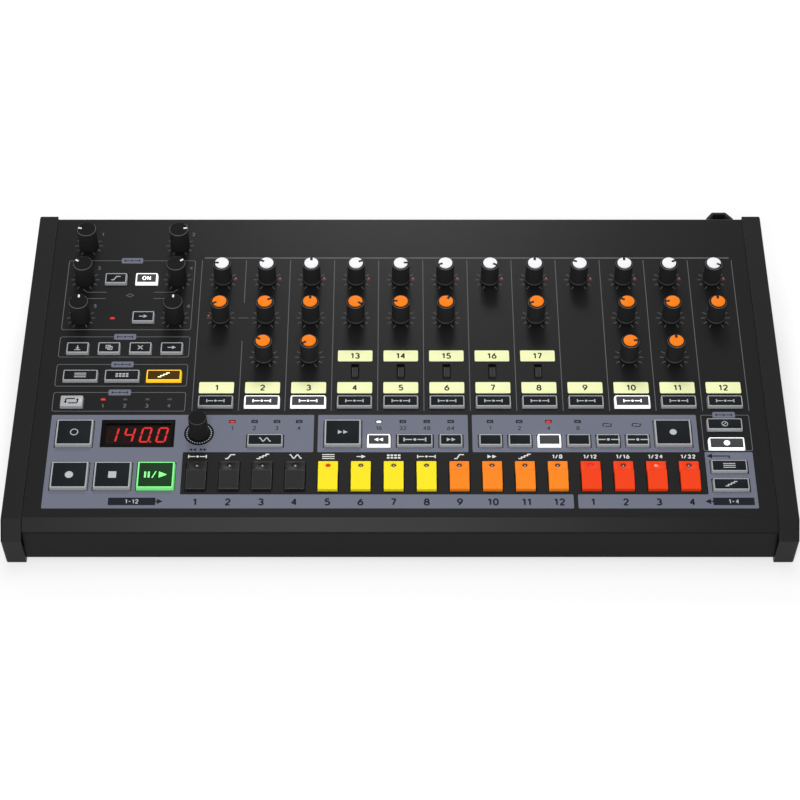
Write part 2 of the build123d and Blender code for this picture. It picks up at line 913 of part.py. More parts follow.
def write_inside():
    """What the panel and the pan carry inside the case."""
    key_places = select_places + small_places + wide_places
    key_places += transport_places + pad_places + step_places
    switches = at(key_places, key_switch())
    switches += at(voice_switch_places, slide_switch_body())
    write("circuit_boards", circuit_boards())
    write("board_standoffs", standoffs())
    write("potentiometers", at(knob_places, potentiometer()))
    write("switch_bodies", switches)
    write("indicator_lights", indicators())
    window, module = display_parts()
    write("display_window", [panel_place * window])
    write("display_module", [panel_place * module])
    write("rear_connectors", rear_connectors())


def main():
    """Build every sub-part and write it out."""
    os.makedirs("parts", exist_ok=True)
    write("top_panel", [top_panel()])
    write("base_pan", [base_pan()])
    write("left_cheek", [cheek(-1)])
    write("right_cheek", [cheek(1)])
    write("rubber_feet", [foot(x, y) for x, y in foot_places()])
    write("case_screws", [seat * screw() for seat in screw_seats()])
    write("cable_hook", [cable_hook()])
    write_inside()
    write_knobs()
    write_keys()


main()
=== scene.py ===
"""Finish, print and lamps of a desktop drum machine, built around its packed construction.

Every piece is drawn in millimetres in a working frame that lies on the object: the control
panel (x to the right, v up the slope, w out of the face) or the rear wall. The places come
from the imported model, so the finish follows the construction.
"""

from __future__ import annotations

import json
import logging
import math
from dataclasses import dataclass, field
from enum import Enum
from typing import Iterable, Sequence

import bmesh
import bpy
from mathutils import Matrix, Vector

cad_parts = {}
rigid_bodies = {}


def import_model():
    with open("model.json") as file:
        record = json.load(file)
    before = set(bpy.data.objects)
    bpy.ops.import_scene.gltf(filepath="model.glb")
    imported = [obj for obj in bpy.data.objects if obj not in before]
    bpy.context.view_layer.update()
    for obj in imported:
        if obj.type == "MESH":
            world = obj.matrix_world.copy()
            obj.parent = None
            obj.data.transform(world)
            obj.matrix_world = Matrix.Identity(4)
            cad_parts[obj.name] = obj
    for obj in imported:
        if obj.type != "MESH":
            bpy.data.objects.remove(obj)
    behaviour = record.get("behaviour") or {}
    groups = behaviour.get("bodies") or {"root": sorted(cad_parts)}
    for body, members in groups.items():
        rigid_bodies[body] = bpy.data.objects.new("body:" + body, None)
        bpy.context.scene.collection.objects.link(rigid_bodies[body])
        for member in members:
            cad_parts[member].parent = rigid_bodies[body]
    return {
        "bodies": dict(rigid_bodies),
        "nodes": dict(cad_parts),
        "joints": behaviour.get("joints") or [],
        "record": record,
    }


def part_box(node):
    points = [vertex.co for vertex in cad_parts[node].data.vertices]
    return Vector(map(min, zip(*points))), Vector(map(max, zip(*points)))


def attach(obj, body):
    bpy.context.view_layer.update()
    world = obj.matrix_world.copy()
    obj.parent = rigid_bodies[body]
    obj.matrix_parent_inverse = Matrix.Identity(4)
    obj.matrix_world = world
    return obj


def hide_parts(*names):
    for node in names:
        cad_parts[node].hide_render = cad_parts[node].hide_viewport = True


LOG = logging.getLogger("drum_machine")
MM = 0.001
WELD = 1e-6  # metres between packed corners that are one
Mesh = bpy.types.Mesh
Socket = bpy.types.NodeSocket
Sockets = bpy.types.NodeOutputs
Point = tuple[float, float]
Outline = list[Point]
Ring = list[Vector]
Spot = tuple[float, float, float]  # x, v and clockwise turn in degrees
Step = tuple[float, float, float, float]  # a ring's width, depth, corner and height
Tone = tuple[int, int, int]  # 8-bit screen colour
Colour = tuple[float, float, float, float]
Parts = list[tuple[Mesh, "Finish"]]
MID_GREY: Colour = (0.5, 0.5, 0.5, 1)
DUST: Tone = (170, 168, 162)


def screen(tone: Tone) -> Colour:
    """Scene-linear colour of an 8-bit screen colour.

    Args:
        tone: red, green and blue, 0 to 255.

    Returns:
        The colour with full opacity.
    """
    levels = []
    for value in tone:
        share = value / 255
        levels.append(share / 12.92 if share <= 0.04045 else ((share + 0.055) / 1.055) ** 2.4)
    return levels[0], levels[1], levels[2], 1.0


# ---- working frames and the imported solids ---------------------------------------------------
@dataclass(frozen=True)
class Place:
    """A working frame on the object: its matrix takes millimetres there to the row frame."""

    matrix: Matrix

    @staticmethod
    def on(origin: Vector, right: Vector, up: Vector) -> Place:
        """The frame with an origin in metres, x along right and v along up."""
        axes = Matrix((right, up, right.cross(up))).transposed().to_4x4()
        return Place(Matrix.Translation(origin) @ axes @ Matrix.Scale(MM, 4))

    def at(self, x: float, v: float, w: float = 0.0, turn: float = 0.0) -> Place:
        """The frame moved to a point of itself and turned clockwise by some degrees."""
        spin = Matrix.Rotation(-math.radians(turn), 4, "Z")
        return Place(self.matrix @ Matrix.Translation((x, v, w)) @ spin)


@dataclass(frozen=True)
class Solid:
    """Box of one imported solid, in a working frame's millimetres."""

    low: Vector
    high: Vector

    @property
    def x(self) -> float:
        """Middle of the box along x."""
        return (self.low.x + self.high.x) / 2

    @property
    def v(self) -> float:
        """Middle of the box along v."""
        return (self.low.y + self.high.y) / 2

    @property
    def spot(self) -> Spot:
        """Where a copy is stamped on it."""
        return self.x, self.v, 0.0

    @property
    def size(self) -> Vector:
        """Width, depth and height of the box."""
        return self.high - self.low


def solids_of(frame: dict, node: str, place: Place) -> list[Solid]:
    """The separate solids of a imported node, in reading order.

    Args:
        node: the node's name.
        place: the working frame to measure in.

    Returns:
        One box per solid, from the top row down, each row from the left.
    """
    mesh = bmesh.new()
    mesh.from_mesh(frame["nodes"][node].data)
    bmesh.ops.remove_doubles(mesh, verts=mesh.verts, dist=WELD)
    back = place.matrix.inverted()
    left = set(mesh.verts)
    found = []
    while left:
        stack = [left.pop()]
        corners = []
        while stack:
            vert = stack.pop()
            corners.append(back @ vert.co)
            others = {edge.other_vert(vert) for edge in vert.link_edges} & left
            left -= others
            stack += others
        low = Vector([min(c[axis] for c in corners) for axis in range(3)])
        high = Vector([max(c[axis] for c in corners) for axis in range(3)])
        found.append(Solid(low, high))
    mesh.free()
    return sorted(found, key=lambda solid: (-round(solid.v), solid.x))


# ---- node trees, and the shader groups that several finishes share --------------------------
@dataclass
class Wiring:
    """A node tree under construction."""

    tree: bpy.types.NodeTree

    def feed(self, node: bpy.types.Node, inputs: dict) -> None:
        """Link or set a node's inputs.

        Args:
            node: the node.
            inputs: by name or number, the socket that an input is linked to, or its value.
        """
        for key, value in inputs.items():
            if isinstance(value, Socket):
                self.tree.links.new(value, node.inputs[key])
            else:
                node.inputs[key].default_value = value

    def node(self, kind: str, inputs: dict | None = None, **settings: object) -> bpy.types.Node:
        """A new node.

        Args:
            kind: the node's type.
            inputs: what its inputs are linked to, or their values.
            settings: attributes to set on it.

        Returns:
            The node.
        """
        made = self.tree.nodes.new(kind)
        for key, value in settings.items():
            setattr(made, key, value)
        self.feed(made, inputs or {})
        return made

    def math(self, operation: str, *values: object, clamp: bool = False) -> Socket:
        """The result of an operation on sockets and numbers."""
        inputs = dict(enumerate(values))
        return self.node("ShaderNodeMath", inputs, operation=operation, use_clamp=clamp).outputs[0]

    def scaled(self, colour: Socket, factor: Socket) -> Socket:
        """A colour times a number."""
        inputs = {0: colour, "Scale": factor}
        return self.node("ShaderNodeVectorMath", inputs, operation="SCALE").outputs[0]

    def noise(self, size: Socket, detail: float) -> Socket:
        """Noise on the object.

        Args:
            size: size of its patches in millimetres.
            detail: how many finer layers it has.

        Returns:
            The noise's socket.
        """
        where = self.node("ShaderNodeTexCoord").outputs["Object"]
        inputs = {"Vector": where, "Scale": self.math("DIVIDE", 1 / MM, size), "Detail": detail}
        return self.node("ShaderNodeTexNoise", inputs).outputs["Fac"]

    def effect(self, kind: type[Effect], **inputs: object) -> Sockets:
        """The outputs of a shared group, placed with its own values."""
        return self.node("ShaderNodeGroup", inputs, node_tree=kind.group()).outputs


class Effect(Wiring):
    """A shader group that several finishes share."""

    NAME = ""
    INPUTS: dict[str, object] = {}
    OUTPUTS: dict[str, str] = {}

    @classmethod
    def group(cls) -> bpy.types.NodeTree:
        """The group, built at its first use.

        Returns:
            The group's tree.
        """
        if cls.NAME in bpy.data.node_groups:
            return bpy.data.node_groups[cls.NAME]
        made = cls(bpy.data.node_groups.new(cls.NAME, "ShaderNodeTree"))
        interface = made.tree.interface
        for label, value in cls.INPUTS.items():
            kind = "NodeSocketFloat" if isinstance(value, float) else "NodeSocketColor"
            interface.new_socket(label, in_out="INPUT", socket_type=kind).default_value = value
        for label, kind in cls.OUTPUTS.items():
            interface.new_socket(label, in_out="OUTPUT", socket_type=f"NodeSocket{kind}")
        made.node("NodeGroupOutput", made.fill(made.node("NodeGroupInput").outputs))
        return made.tree

    def fill(self, given: Sockets) -> dict[str, Socket]:
        """Add the group's nodes behind its inputs; what each output is linked to."""
        raise NotImplementedError


class Drift(Effect):
    """Slow light and dark patches in a colour."""

    NAME = "colour_drift"
    INPUTS = {"Colour": MID_GREY, "Amount": 0.1, "Patch": 40.0}
    OUTPUTS = {"Colour": "Color"}

    def fill(self, given: Sockets) -> dict[str, Socket]:
        """Scale the colour by noise about one."""
        wave = self.math("SUBTRACT", self.noise(given["Patch"], 3.0), 0.5)
        return {"Colour": self.scaled(given["Colour"], self.math("MULTIPLY_ADD", wave, given["Amount"], 1.0))}


class Grain(Effect):
    """Fine surface grain: its height, and the roughness that goes with it."""

    NAME = "surface_grain"
    INPUTS = {"Size": 0.4, "Roughness": 0.5, "Spread": 0.1}
    OUTPUTS = {"Height": "Float", "Roughness": "Float"}

    def fill(self, given: Sockets) -> dict[str, Socket]:
        """Let the roughness wander with the height.

        Args:
            given: the group's inputs.

        Returns:
            What each output is linked to.
        """
        height = self.noise(given["Size"], 2.0)
        wave = self.math("SUBTRACT", height, 0.5)
        roughness = self.math("MULTIPLY_ADD", wave, given["Spread"], given["Roughness"])
        return {"Height": height, "Roughness": roughness}


class Dust(Effect):
    """Thin settled dust on whatever faces upward."""

    NAME = "settled_dust"
    INPUTS = {"Colour": MID_GREY, "Amount": 0.05, "Patch": 9.0}
    OUTPUTS = {"Colour": "Color"}
    MIX = {"under": 6, "over": 7, "result": 2}  # numbers of the mix node's colour sockets

    def fill(self, given: Sockets) -> dict[str, Socket]:
        """Mix a pale colour in by the slope and by noise.

        Args:
            given: the group's inputs.

        Returns:
            What each output is linked to.
        """
        normal = self.node("ShaderNodeNewGeometry").outputs["Normal"]
        up = self.node("ShaderNodeSeparateXYZ", {0: normal}).outputs["Z"]
        upward = self.math("MULTIPLY", up, self.noise(given["Patch"], 6.0), clamp=True)
        share = self.math("MULTIPLY", upward, given["Amount"])
        inputs = {"Factor": share, self.MIX["under"]: given["Colour"], self.MIX["over"]: screen(DUST)}
        mix = self.node("ShaderNodeMix", inputs, data_type="RGBA")
        return {"Colour": mix.outputs[self.MIX["result"]]}


class Edges(Effect):
    """Rounded normals along edges, and the colour painted paler there as a highlight."""

    NAME = "edges_painted_highlight"
    INPUTS = {"Colour": MID_GREY, "Radius": 0.4, "Wear": 1.0}
    OUTPUTS = {"Colour": "Color", "Normal": "Vector"}

    def fill(self, given: Sockets) -> dict[str, Socket]:
        """Compare the rounded normal with the plain one.

        Args:
            given: the group's inputs.

        Returns:
            What each output is linked to.
        """
        radius = self.math("MULTIPLY", given["Radius"], MM)
        rounded_off = self.node("ShaderNodeBevel", {"Radius": radius}, samples=4).outputs["Normal"]
        both = {0: rounded_off, 1: self.node("ShaderNodeNewGeometry").outputs["Normal"]}
        along = self.node("ShaderNodeVectorMath", both, operation="DOT_PRODUCT").outputs["Value"]
        turned = self.math("SUBTRACT", 1.0, along, clamp=True)
        paler = self.math("MULTIPLY_ADD", turned, given["Wear"], 1.0)
        return {"Colour": self.scaled(given["Colour"], paler), "Normal": rounded_off}


# ---- finishes -------------------------------------------------------------------------------
@dataclass(frozen=True)
class Finish:
    """One surface finish, from which its material is made; its lengths are in millimetres."""

    label: str
    slot: str
    tone: Tone
    roughness: float = 0.5
    specular: float = 0.4
    metallic: float = 0.0
    coat: float = 0.0
    coat_roughness: float = 0.12
    grain: tuple[float, float] = (0.35, 0.01)  # size and depth
    spread: float = 0.1  # how far the roughness wanders
    drift: float = 0.12
    patch: float = 30.0
    dust: float = 0.0
    edge: tuple[float, float] = (0.0, 0.0)  # radius of a rounded edge, and how much paler it is painted there as a highlight
    glow: float = 0.0
    light: Tone = (255, 255, 255)

    def material(self) -> bpy.types.Material:
        """The finish's material, made at its first use.

        Returns:
            The material.
        """
        name = f"{self.label}_finish"
        if name in bpy.data.materials:
            return bpy.data.materials[name]
        made = bpy.data.materials.new(name)
        made.use_nodes = True
        made.diffuse_color = screen(self.tone)
        wiring = Wiring(made.node_tree)
        colour = wiring.effect(Drift, Colour=screen(self.tone), Amount=self.drift, Patch=self.patch)[0]
        if self.dust:
            colour = wiring.effect(Dust, Colour=colour, Amount=self.dust)[0]
        size, depth = self.grain
        grain = wiring.effect(Grain, Size=size, Roughness=self.roughness, Spread=self.spread)
        bump = {"Height": grain["Height"], "Distance": depth * MM}
        # edges painted paler along the rounded normals: a painted highlight
        radius, edge_highlight = self.edge
        if radius:
            edges = wiring.effect(Edges, Colour=colour, Radius=radius, Wear=edge_highlight)
            colour = edges["Colour"]
            bump["Normal"] = edges["Normal"]
        inputs = {
            "Base Color": colour, "Roughness": grain["Roughness"], "Metallic": self.metallic,
            "Specular IOR Level": self.specular, "Coat Weight": self.coat,
            "Coat Roughness": self.coat_roughness,
            "Normal": wiring.node("ShaderNodeBump", bump).outputs["Normal"],
        }
        if self.glow:
            inputs |= {"Emission Color": screen(self.light), "Emission Strength": self.glow}
        wiring.feed(made.node_tree.nodes["Principled BSDF"], inputs)
        return made


# edge: rounded edges of panel, pan, cheeks and hook painted paler as a highlight
PANEL_PAINT = Finish(
    "panel_paint", "panel_paint", (22, 22, 23), 0.34, 0.078,
    grain=(0.5, 0.02), dust=0.004, drift=0.1, patch=60.0, edge=(0.6, 12.0),
)
PAN_PAINT = Finish("pan_paint", "pan_paint", (28, 28, 29), 0.5, 0.16, grain=(0.6, 0.03), edge=(0.5, 5.0))
CHEEK_PLASTIC = Finish(
    "cheek_plastic", "cheek_plastic", (26, 26, 27), 0.38, 0.08, grain=(0.8, 0.05), dust=0.004,
    edge=(0.7, 9.0),
)
FOOT_RUBBER = Finish("foot_rubber", "foot_rubber", (24, 24, 24), 0.85, 0.2, grain=(0.5, 0.05))
SCREW_STEEL = Finish("screw_steel", "screw_steel", (60, 60, 62), 0.35, metallic=0.9, grain=(0.2, 0.005))
BOARD_LAMINATE = Finish("board_laminate", "board_laminate", (20, 74, 44), 0.4, coat=0.3, grain=(1.2, 0.02))
STANDOFF_BRASS = Finish("standoff_brass", "standoff_brass", (200, 165, 92), 0.3, metallic=1.0)
POTENTIOMETER_CASE = Finish(
    "potentiometer_case", "potentiometer_case", (150, 150, 146), 0.4, metallic=0.8,
)
SWITCH_CASE = Finish("switch_case", "switch_case", (38, 38, 40))
MODULE_BLACK = Finish("module_black", "module_black", (20, 20, 21), 0.6)
HOOK_PAINT = Finish("hook_paint", "hook_paint", (24, 24, 25), 0.45, 0.12, grain=(0.4, 0.02), edge=(0.4, 5.0))
KNOB_BLACK = Finish("knob_black", "knob_black", (34, 34, 35), 0.45, 0.08, grain=(0.25, 0.012))
# knob top painted darker than the grip's side: painted shade on the same black plastic
KNOB_TOP_SHADE = Finish("knob_top_painted_shade", "knob_black", (19, 19, 20), 0.5, 0.04, grain=(0.25, 0.012))
# pale chamfer around a knob's top: a painted highlight
KNOB_RIM_HIGHLIGHT = Finish("knob_rim_painted_highlight", "knob_black", (108, 108, 110), 0.32, 0.3, grain=(0.2, 0.004))
# pale ring on a knob's skirt and the encoder's rim: a painted highlight
KNOB_SHOULDER_HIGHLIGHT = Finish("knob_shoulder_painted_highlight", "knob_black", (74, 74, 75), 0.35, 0.2, grain=(0.2, 0.004))
CAP_WHITE = Finish("cap_white", "knob_black", (244, 244, 246), 0.5, 0.1, drift=0.02)
CAP_ORANGE = Finish("cap_orange", "knob_black", (252, 130, 22), 0.5, 0.08, drift=0.04)
# key flanges painted near black, as painted shade in the gap around each key
KEY_FOOT_SHADE = Finish("key_foot_painted_shade", "key_black", (15, 15, 16), 0.7, 0.03)
KEY_GREY = Finish("key_grey", "key_grey", (166, 168, 171), 0.38, 0.45, grain=(0.3, 0.008), drift=0.05)
KEY_FACE = Finish("key_face", "key_grey", (27, 30, 33), 0.6, 0.04, grain=(0.3, 0.006))
# edge: step keys' edges painted paler as a highlight, the black ones far paler
STEP_FINISHES = {
    colour: Finish(
        f"step_{colour}", f"key_{colour}", tone, roughness, 0.1, drift=drift, grain=(0.35, 0.012), edge=edge,
    )
    for colour, tone, roughness, drift, edge in (
        ("black", (31, 31, 32), 0.36, 0.12, (0.6, 34.0)),
        ("yellow", (248, 228, 32), 0.45, 0.05, (0.5, 4.0)),
        ("orange", (250, 134, 28), 0.45, 0.05, (0.5, 1.6)),
        ("red", (240, 64, 18), 0.45, 0.05, (0.5, 1.6)),
    )
}
SLIDER_GREY = Finish("slider_grey", "slider_grey", (56, 55, 55), 0.45, 0.12)
LAMP_DARK = Finish("lamp_dark", "lamp_red", (70, 73, 80), 0.3, 0.15)
LAMP_CLEAR = Finish("lamp_clear", "lamp_red", (166, 168, 166), 0.35, 0.2)
LAMP_RED = Finish("lamp_red", "lamp_red", (120, 26, 26), 0.4, 0.1, glow=0.68, light=(250, 62, 60))
LAMP_EMBER = Finish("lamp_ember", "lamp_red", (120, 26, 12), 0.4, 0.1, glow=0.6, light=(236, 60, 22))
LAMP_PINK = Finish("lamp_pink", "lamp_red", (255, 120, 110), 0.3, glow=0.5, light=(255, 100, 90))
LAMP_WHITE = Finish("lamp_white", "lamp_red", (250, 250, 255), 0.3, glow=0.8, light=(250, 250, 255))
WINDOW_FRAME = Finish("window_frame", "window_smoke", (8, 8, 9), 0.28, 0.04)
WINDOW_PANE = Finish("window_pane", "window_smoke", (25, 19, 16), 0.3, 0.03)
SEGMENT_DARK = Finish("segment_dark", "window_smoke", (46, 15, 14), 0.4, 0.03)
SEGMENT_LIT = Finish("segment_lit", "window_smoke", (92, 20, 20), 0.4, 0.03, glow=0.7, light=(255, 58, 58))
INK_LINE = Finish("ink_line", "panel_paint", (100, 102, 104), 0.55, 0.1, drift=0.2)
INK_LIGHT = Finish("ink_light", "panel_paint", (176, 178, 180), 0.55, drift=0.1)
INK_KEY = Finish("ink_key", "key_grey", (186, 188, 190), 0.5, 0.1)
INK_WHITE = Finish("ink_white", "panel_paint", (226, 227, 222), 0.55, 0.1)
INK_RED = Finish("ink_red", "panel_paint", (200, 84, 62), 0.55, 0.1)
INK_TICK = Finish("ink_tick", "panel_paint", (104, 106, 109), 0.55, 0.1, drift=0.15)
INK_SLATE = Finish(
    "ink_slate", "panel_paint", (109, 112, 127), 0.5, 0.08, grain=(0.5, 0.015), drift=0.06,
    patch=50.0, dust=0.01,
)
INK_DARK = Finish("ink_dark", "panel_paint", (26, 27, 37), 0.5, 0.06)
INK_BLACK = Finish("ink_black", "panel_paint", (15, 16, 17), 0.5, 0.05)
LABEL_YELLOW = Finish("label_yellow", "panel_paint", (245, 249, 191), 0.5, 0.12, drift=0.03)
CONNECTOR_BLACK = Finish("connector_black", "connector_black", (26, 26, 27), 0.5, 0.2)
CONNECTOR_METAL = Finish(
    "connector_metal", "screw_steel", (176, 176, 172), 0.28, metallic=1.0, grain=(0.2, 0.004),
)


class Glow(Enum):
    """How a key is lit, with the finishes of its frame, face and mark."""

    OFF = (KEY_GREY, KEY_FACE, INK_KEY)
    WHITE = (
        Finish("frame_white", "key_grey", (250, 250, 252), 0.35, glow=0.7),
        Finish("face_white", "key_grey", (48, 50, 53), 0.6, 0.04, glow=0.03),
        Finish("mark_white", "key_grey", (250, 250, 252), 0.4, glow=0.8),
    )
    AMBER = (
        Finish("frame_amber", "key_grey", (255, 196, 36), 0.35, glow=0.55, light=(255, 190, 30)),
        Finish("face_amber", "key_grey", (58, 44, 15), 0.6, 0.04, glow=0.02, light=(255, 160, 30)),
        Finish("mark_amber", "key_grey", (255, 250, 190), 0.4, glow=0.8, light=(255, 245, 180)),
    )
    GREEN = (
        Finish("frame_green", "key_grey", (118, 220, 126), 0.35, glow=0.35, light=(120, 245, 132)),
        Finish("face_green", "key_grey", (28, 46, 30), 0.6, 0.04, glow=0.02, light=(90, 250, 110)),
        Finish("mark_green", "key_grey", (120, 255, 130), 0.4, glow=0.7, light=(110, 255, 120)),
    )


# ---- shapes ---------------------------------------------------------------------------------
def round_ring(radius: float, w: float, count: int = 40) -> Ring:
    """Points on a circle at a height, anticlockwise."""
    turns = (math.tau * i / count for i in range(count))
    return [Vector((radius * math.cos(a), radius * math.sin(a), w)) for a in turns]


def corner_ring(width: float, depth: float, corner: float, w: float, steps: int = 3, sides: int = 1) -> Ring:
    """Points on a rectangle with rounded corners at a height, anticlockwise.

    Args:
        width: size along x.
        depth: size along v.
        corner: radius of the corners.
        w: height.
        steps: divisions of each corner.
        sides: divisions of each straight side.

    Returns:
        The points.
    """
    corners = []
    for quarter, (sx, sv) in enumerate(((1, 1), (-1, 1), (-1, -1), (1, -1))):
        turns = [math.radians(90 * (quarter + i / steps)) for i in range(steps + 1)]
        middle = Vector((sx * (width / 2 - corner), sv * (depth / 2 - corner), w))
        corners.append([middle + corner * Vector((math.cos(a), math.sin(a), 0)) for a in turns])
    ring = []
    for here, following in zip(corners, corners[1:] + corners[:1]):
        ring += here
        ring += [here[-1].lerp(following[0], i / sides) for i in range(1, sides)]
    return ring


def shifted(ring: Ring, x: float = 0.0, v: float = 0.0) -> Outline:
    """A ring's points without their height, moved by x and v."""
    return [(point.x + x, point.y + v) for point in ring]


def box_outline(left: float, low: float, right: float, high: float, corner: float = 0.6) -> Outline:
    """Outline of a rectangle with rounded corners, from its sides."""
    ring = corner_ring(right - left, high - low, corner, 0)
    return shifted(ring, (left + right) / 2, (low + high) / 2)


def rounded(corners: Sequence[Point], radius: float, steps: int = 4) -> Outline:
    """A polygon with every corner rounded.

    Args:
        corners: the polygon.
        radius: radius of the corners.
        steps: divisions of each corner.

    Returns:
        The rounded outline.
    """
    outline = []
    for i, corner in enumerate(corners):
        here = Vector(corner)
        before = (Vector(corners[i - 1]) - here).normalized()
        after = (Vector(corners[(i + 1) % len(corners)]) - here).normalized()
        for step in range(steps + 1):
            t = step / steps
            p = here + before * radius * (1 - t) ** 2 + after * radius * t**2
            outline.append((p.x, p.y))
    return outline


class Shell:
    """Closed surface under construction, in millimetres."""

    def __init__(self) -> None:
        """Start with nothing."""
        self.mesh = bmesh.new()

    def loft(self, rings: Sequence[Ring], closed: bool = False) -> Shell:
        """Skin between rings of equal count.

        Args:
            rings: the rings in order.
            closed: join the last ring to the first, where otherwise both ends are capped.

        Returns:
            The shell itself.
        """
        rows = [[self.mesh.verts.new(point) for point in ring] for ring in rings]
        following = rows[1:] + rows[:1] if closed else rows[1:]
        for low, high in zip(rows, following):
            for i in range(len(low)):
                j = (i + 1) % len(low)
                self.mesh.faces.new((low[i], low[j], high[j], high[i]))
        if not closed:
            self.mesh.faces.new(list(reversed(rows[0])))
            self.mesh.faces.new(rows[-1])
        return self

    def turned(self, profile: Sequence[Point], count: int = 40, closed: bool = False) -> Shell:
        """Body of revolution from radius and height pairs; a closed one has a bore."""
        return self.loft([round_ring(radius, w, count) for radius, w in profile], closed)

    def stepped(self, steps: Sequence[Step], closed: bool = False) -> Shell:
        """Body with rounded corners, from its rings."""
        return self.loft([corner_ring(*step) for step in steps], closed)

    def prism(self, outline: Sequence[Point], low: float, high: float) -> Shell:
        """Straight body between two heights."""
        return self.loft([[Vector((x, v, w)) for x, v in outline] for w in (low, high)])

    def across(self, outline: Sequence[Point], half: float) -> Shell:
        """Body with a section in v and w, as wide as twice the half width along x."""
        return self.loft([[Vector((x, v, w)) for v, w in outline] for x in (-half, half)])

    def ribbon(
        self, line: Sequence[Point], width: float, low: float, high: float, closed: bool = False
    ) -> Shell:
        """Band of even width along a line, mitred at its corners.

        Args:
            line: the middle of the band.
            width: how wide it is.
            low: height of its underside.
            high: height of its face.
            closed: the line's last point joins its first.

        Returns:
            The shell itself.
        """
        points = [Vector(p) for p in line]
        count = len(points)
        left, right = [], []
        for i, point in enumerate(points):
            along = []
            if closed or i:
                along.append((point - points[i - 1]).normalized())
            if closed or i < count - 1:
                along.append((points[(i + 1) % count] - point).normalized())
            normals = [Vector((-d.y, d.x)) for d in along]
            mitre = sum(normals, Vector((0, 0)))
            mitre *= len(normals) / max(mitre.length_squared, 0.3)
            left.append(point + mitre * width / 2)
            right.append(point - mitre * width / 2)
        edges = ((right, low), (right, high), (left, high), (left, low))
        rings = [[Vector((*p, w)) for p in side] for side, w in edges]
        if closed:
            return self.loft(rings, closed=True)
        return self.loft([[ring[i] for ring in (rings[3], *rings[:3])] for i in range(count)])

    def soften(self, width: float, segments: int = 2, angle: float = 40.0) -> Shell:
        """Round every edge that is sharper than an angle.

        Args:
            width: width of the rounding.
            segments: its divisions.
            angle: the angle, in degrees.

        Returns:
            The shell itself.
        """
        limit = math.radians(angle)
        edges = [e for e in self.mesh.edges if e.is_manifold and e.calc_face_angle(0.0) > limit]
        bmesh.ops.bevel(
            self.mesh, geom=edges, offset=width, segments=segments, profile=0.5,
            affect="EDGES", clamp_overlap=True,
        )
        return self

    def data(self, smooth: float = 32.0) -> Mesh:
        """The finished mesh, its faces outward.

        Args:
            smooth: the angle in degrees below which it is shaded smooth.

        Returns:
            The mesh.
        """
        bmesh.ops.recalc_face_normals(self.mesh, faces=self.mesh.faces)
        made = bpy.data.meshes.new("shell")
        self.mesh.to_mesh(made)
        self.mesh.free()
        made.shade_smooth()
        made.set_sharp_from_angle(angle=math.radians(smooth))
        return made


def evaluated(item: bpy.types.Object) -> Mesh:
    """The mesh of an object after its modifiers or its curve are worked out.

    Args:
        item: the object, not yet in the scene; it is removed.

    Returns:
        A plain mesh.
    """
    bpy.context.scene.collection.objects.link(item)
    bpy.context.view_layer.update()
    graph = bpy.context.evaluated_depsgraph_get()
    mesh = bpy.data.meshes.new_from_object(
        item.evaluated_get(graph), preserve_all_data_layers=True, depsgraph=graph
    )
    bpy.data.objects.remove(item)
    return mesh


def plate(outlines: Sequence[Outline], low: float, high: float) -> Mesh:
    """Thin plate bounded by outlines; one inside another is a hole.

    Args:
        outlines: the closed outlines.
        low: height of its underside.
        high: height of its face.

    Returns:
        The plate's mesh, with its seams closed.
    """
    curve = bpy.data.curves.new("plate", "CURVE")
    curve.dimensions = "2D"
    curve.fill_mode = "BOTH"
    curve.extrude = (high - low) / 2
    for outline in outlines:
        spline = curve.splines.new("POLY")
        spline.points.add(len(outline) - 1)
        for point, (x, v) in zip(spline.points, outline):
            point.co = (x, v, 0, 1)
        spline.use_cyclic_u = True
    mesh = evaluated(bpy.data.objects.new("plate", curve))
    work = bmesh.new()
    work.from_mesh(mesh)
    seam = 1e-4
    bmesh.ops.remove_doubles(work, verts=work.verts, dist=seam)
    bmesh.ops.dissolve_degenerate(work, edges=work.edges, dist=seam / 10)
    bmesh.ops.recalc_face_normals(work, faces=work.faces)
    bmesh.ops.translate(work, verts=work.verts, vec=(0, 0, (low + high) / 2))
    work.to_mesh(mesh)
    work.free()
    return mesh


def bow(x: float, v: float, wide: float, high: float, first: float, last: float, count: int = 8) -> Outline:
    """Points on a part of an ellipse, between two angles in degrees."""
    turns = (math.radians(first + (last - first) * i / count) for i in range(count + 1))
    return [(x + wide * math.cos(a), v + high * math.sin(a)) for a in turns]


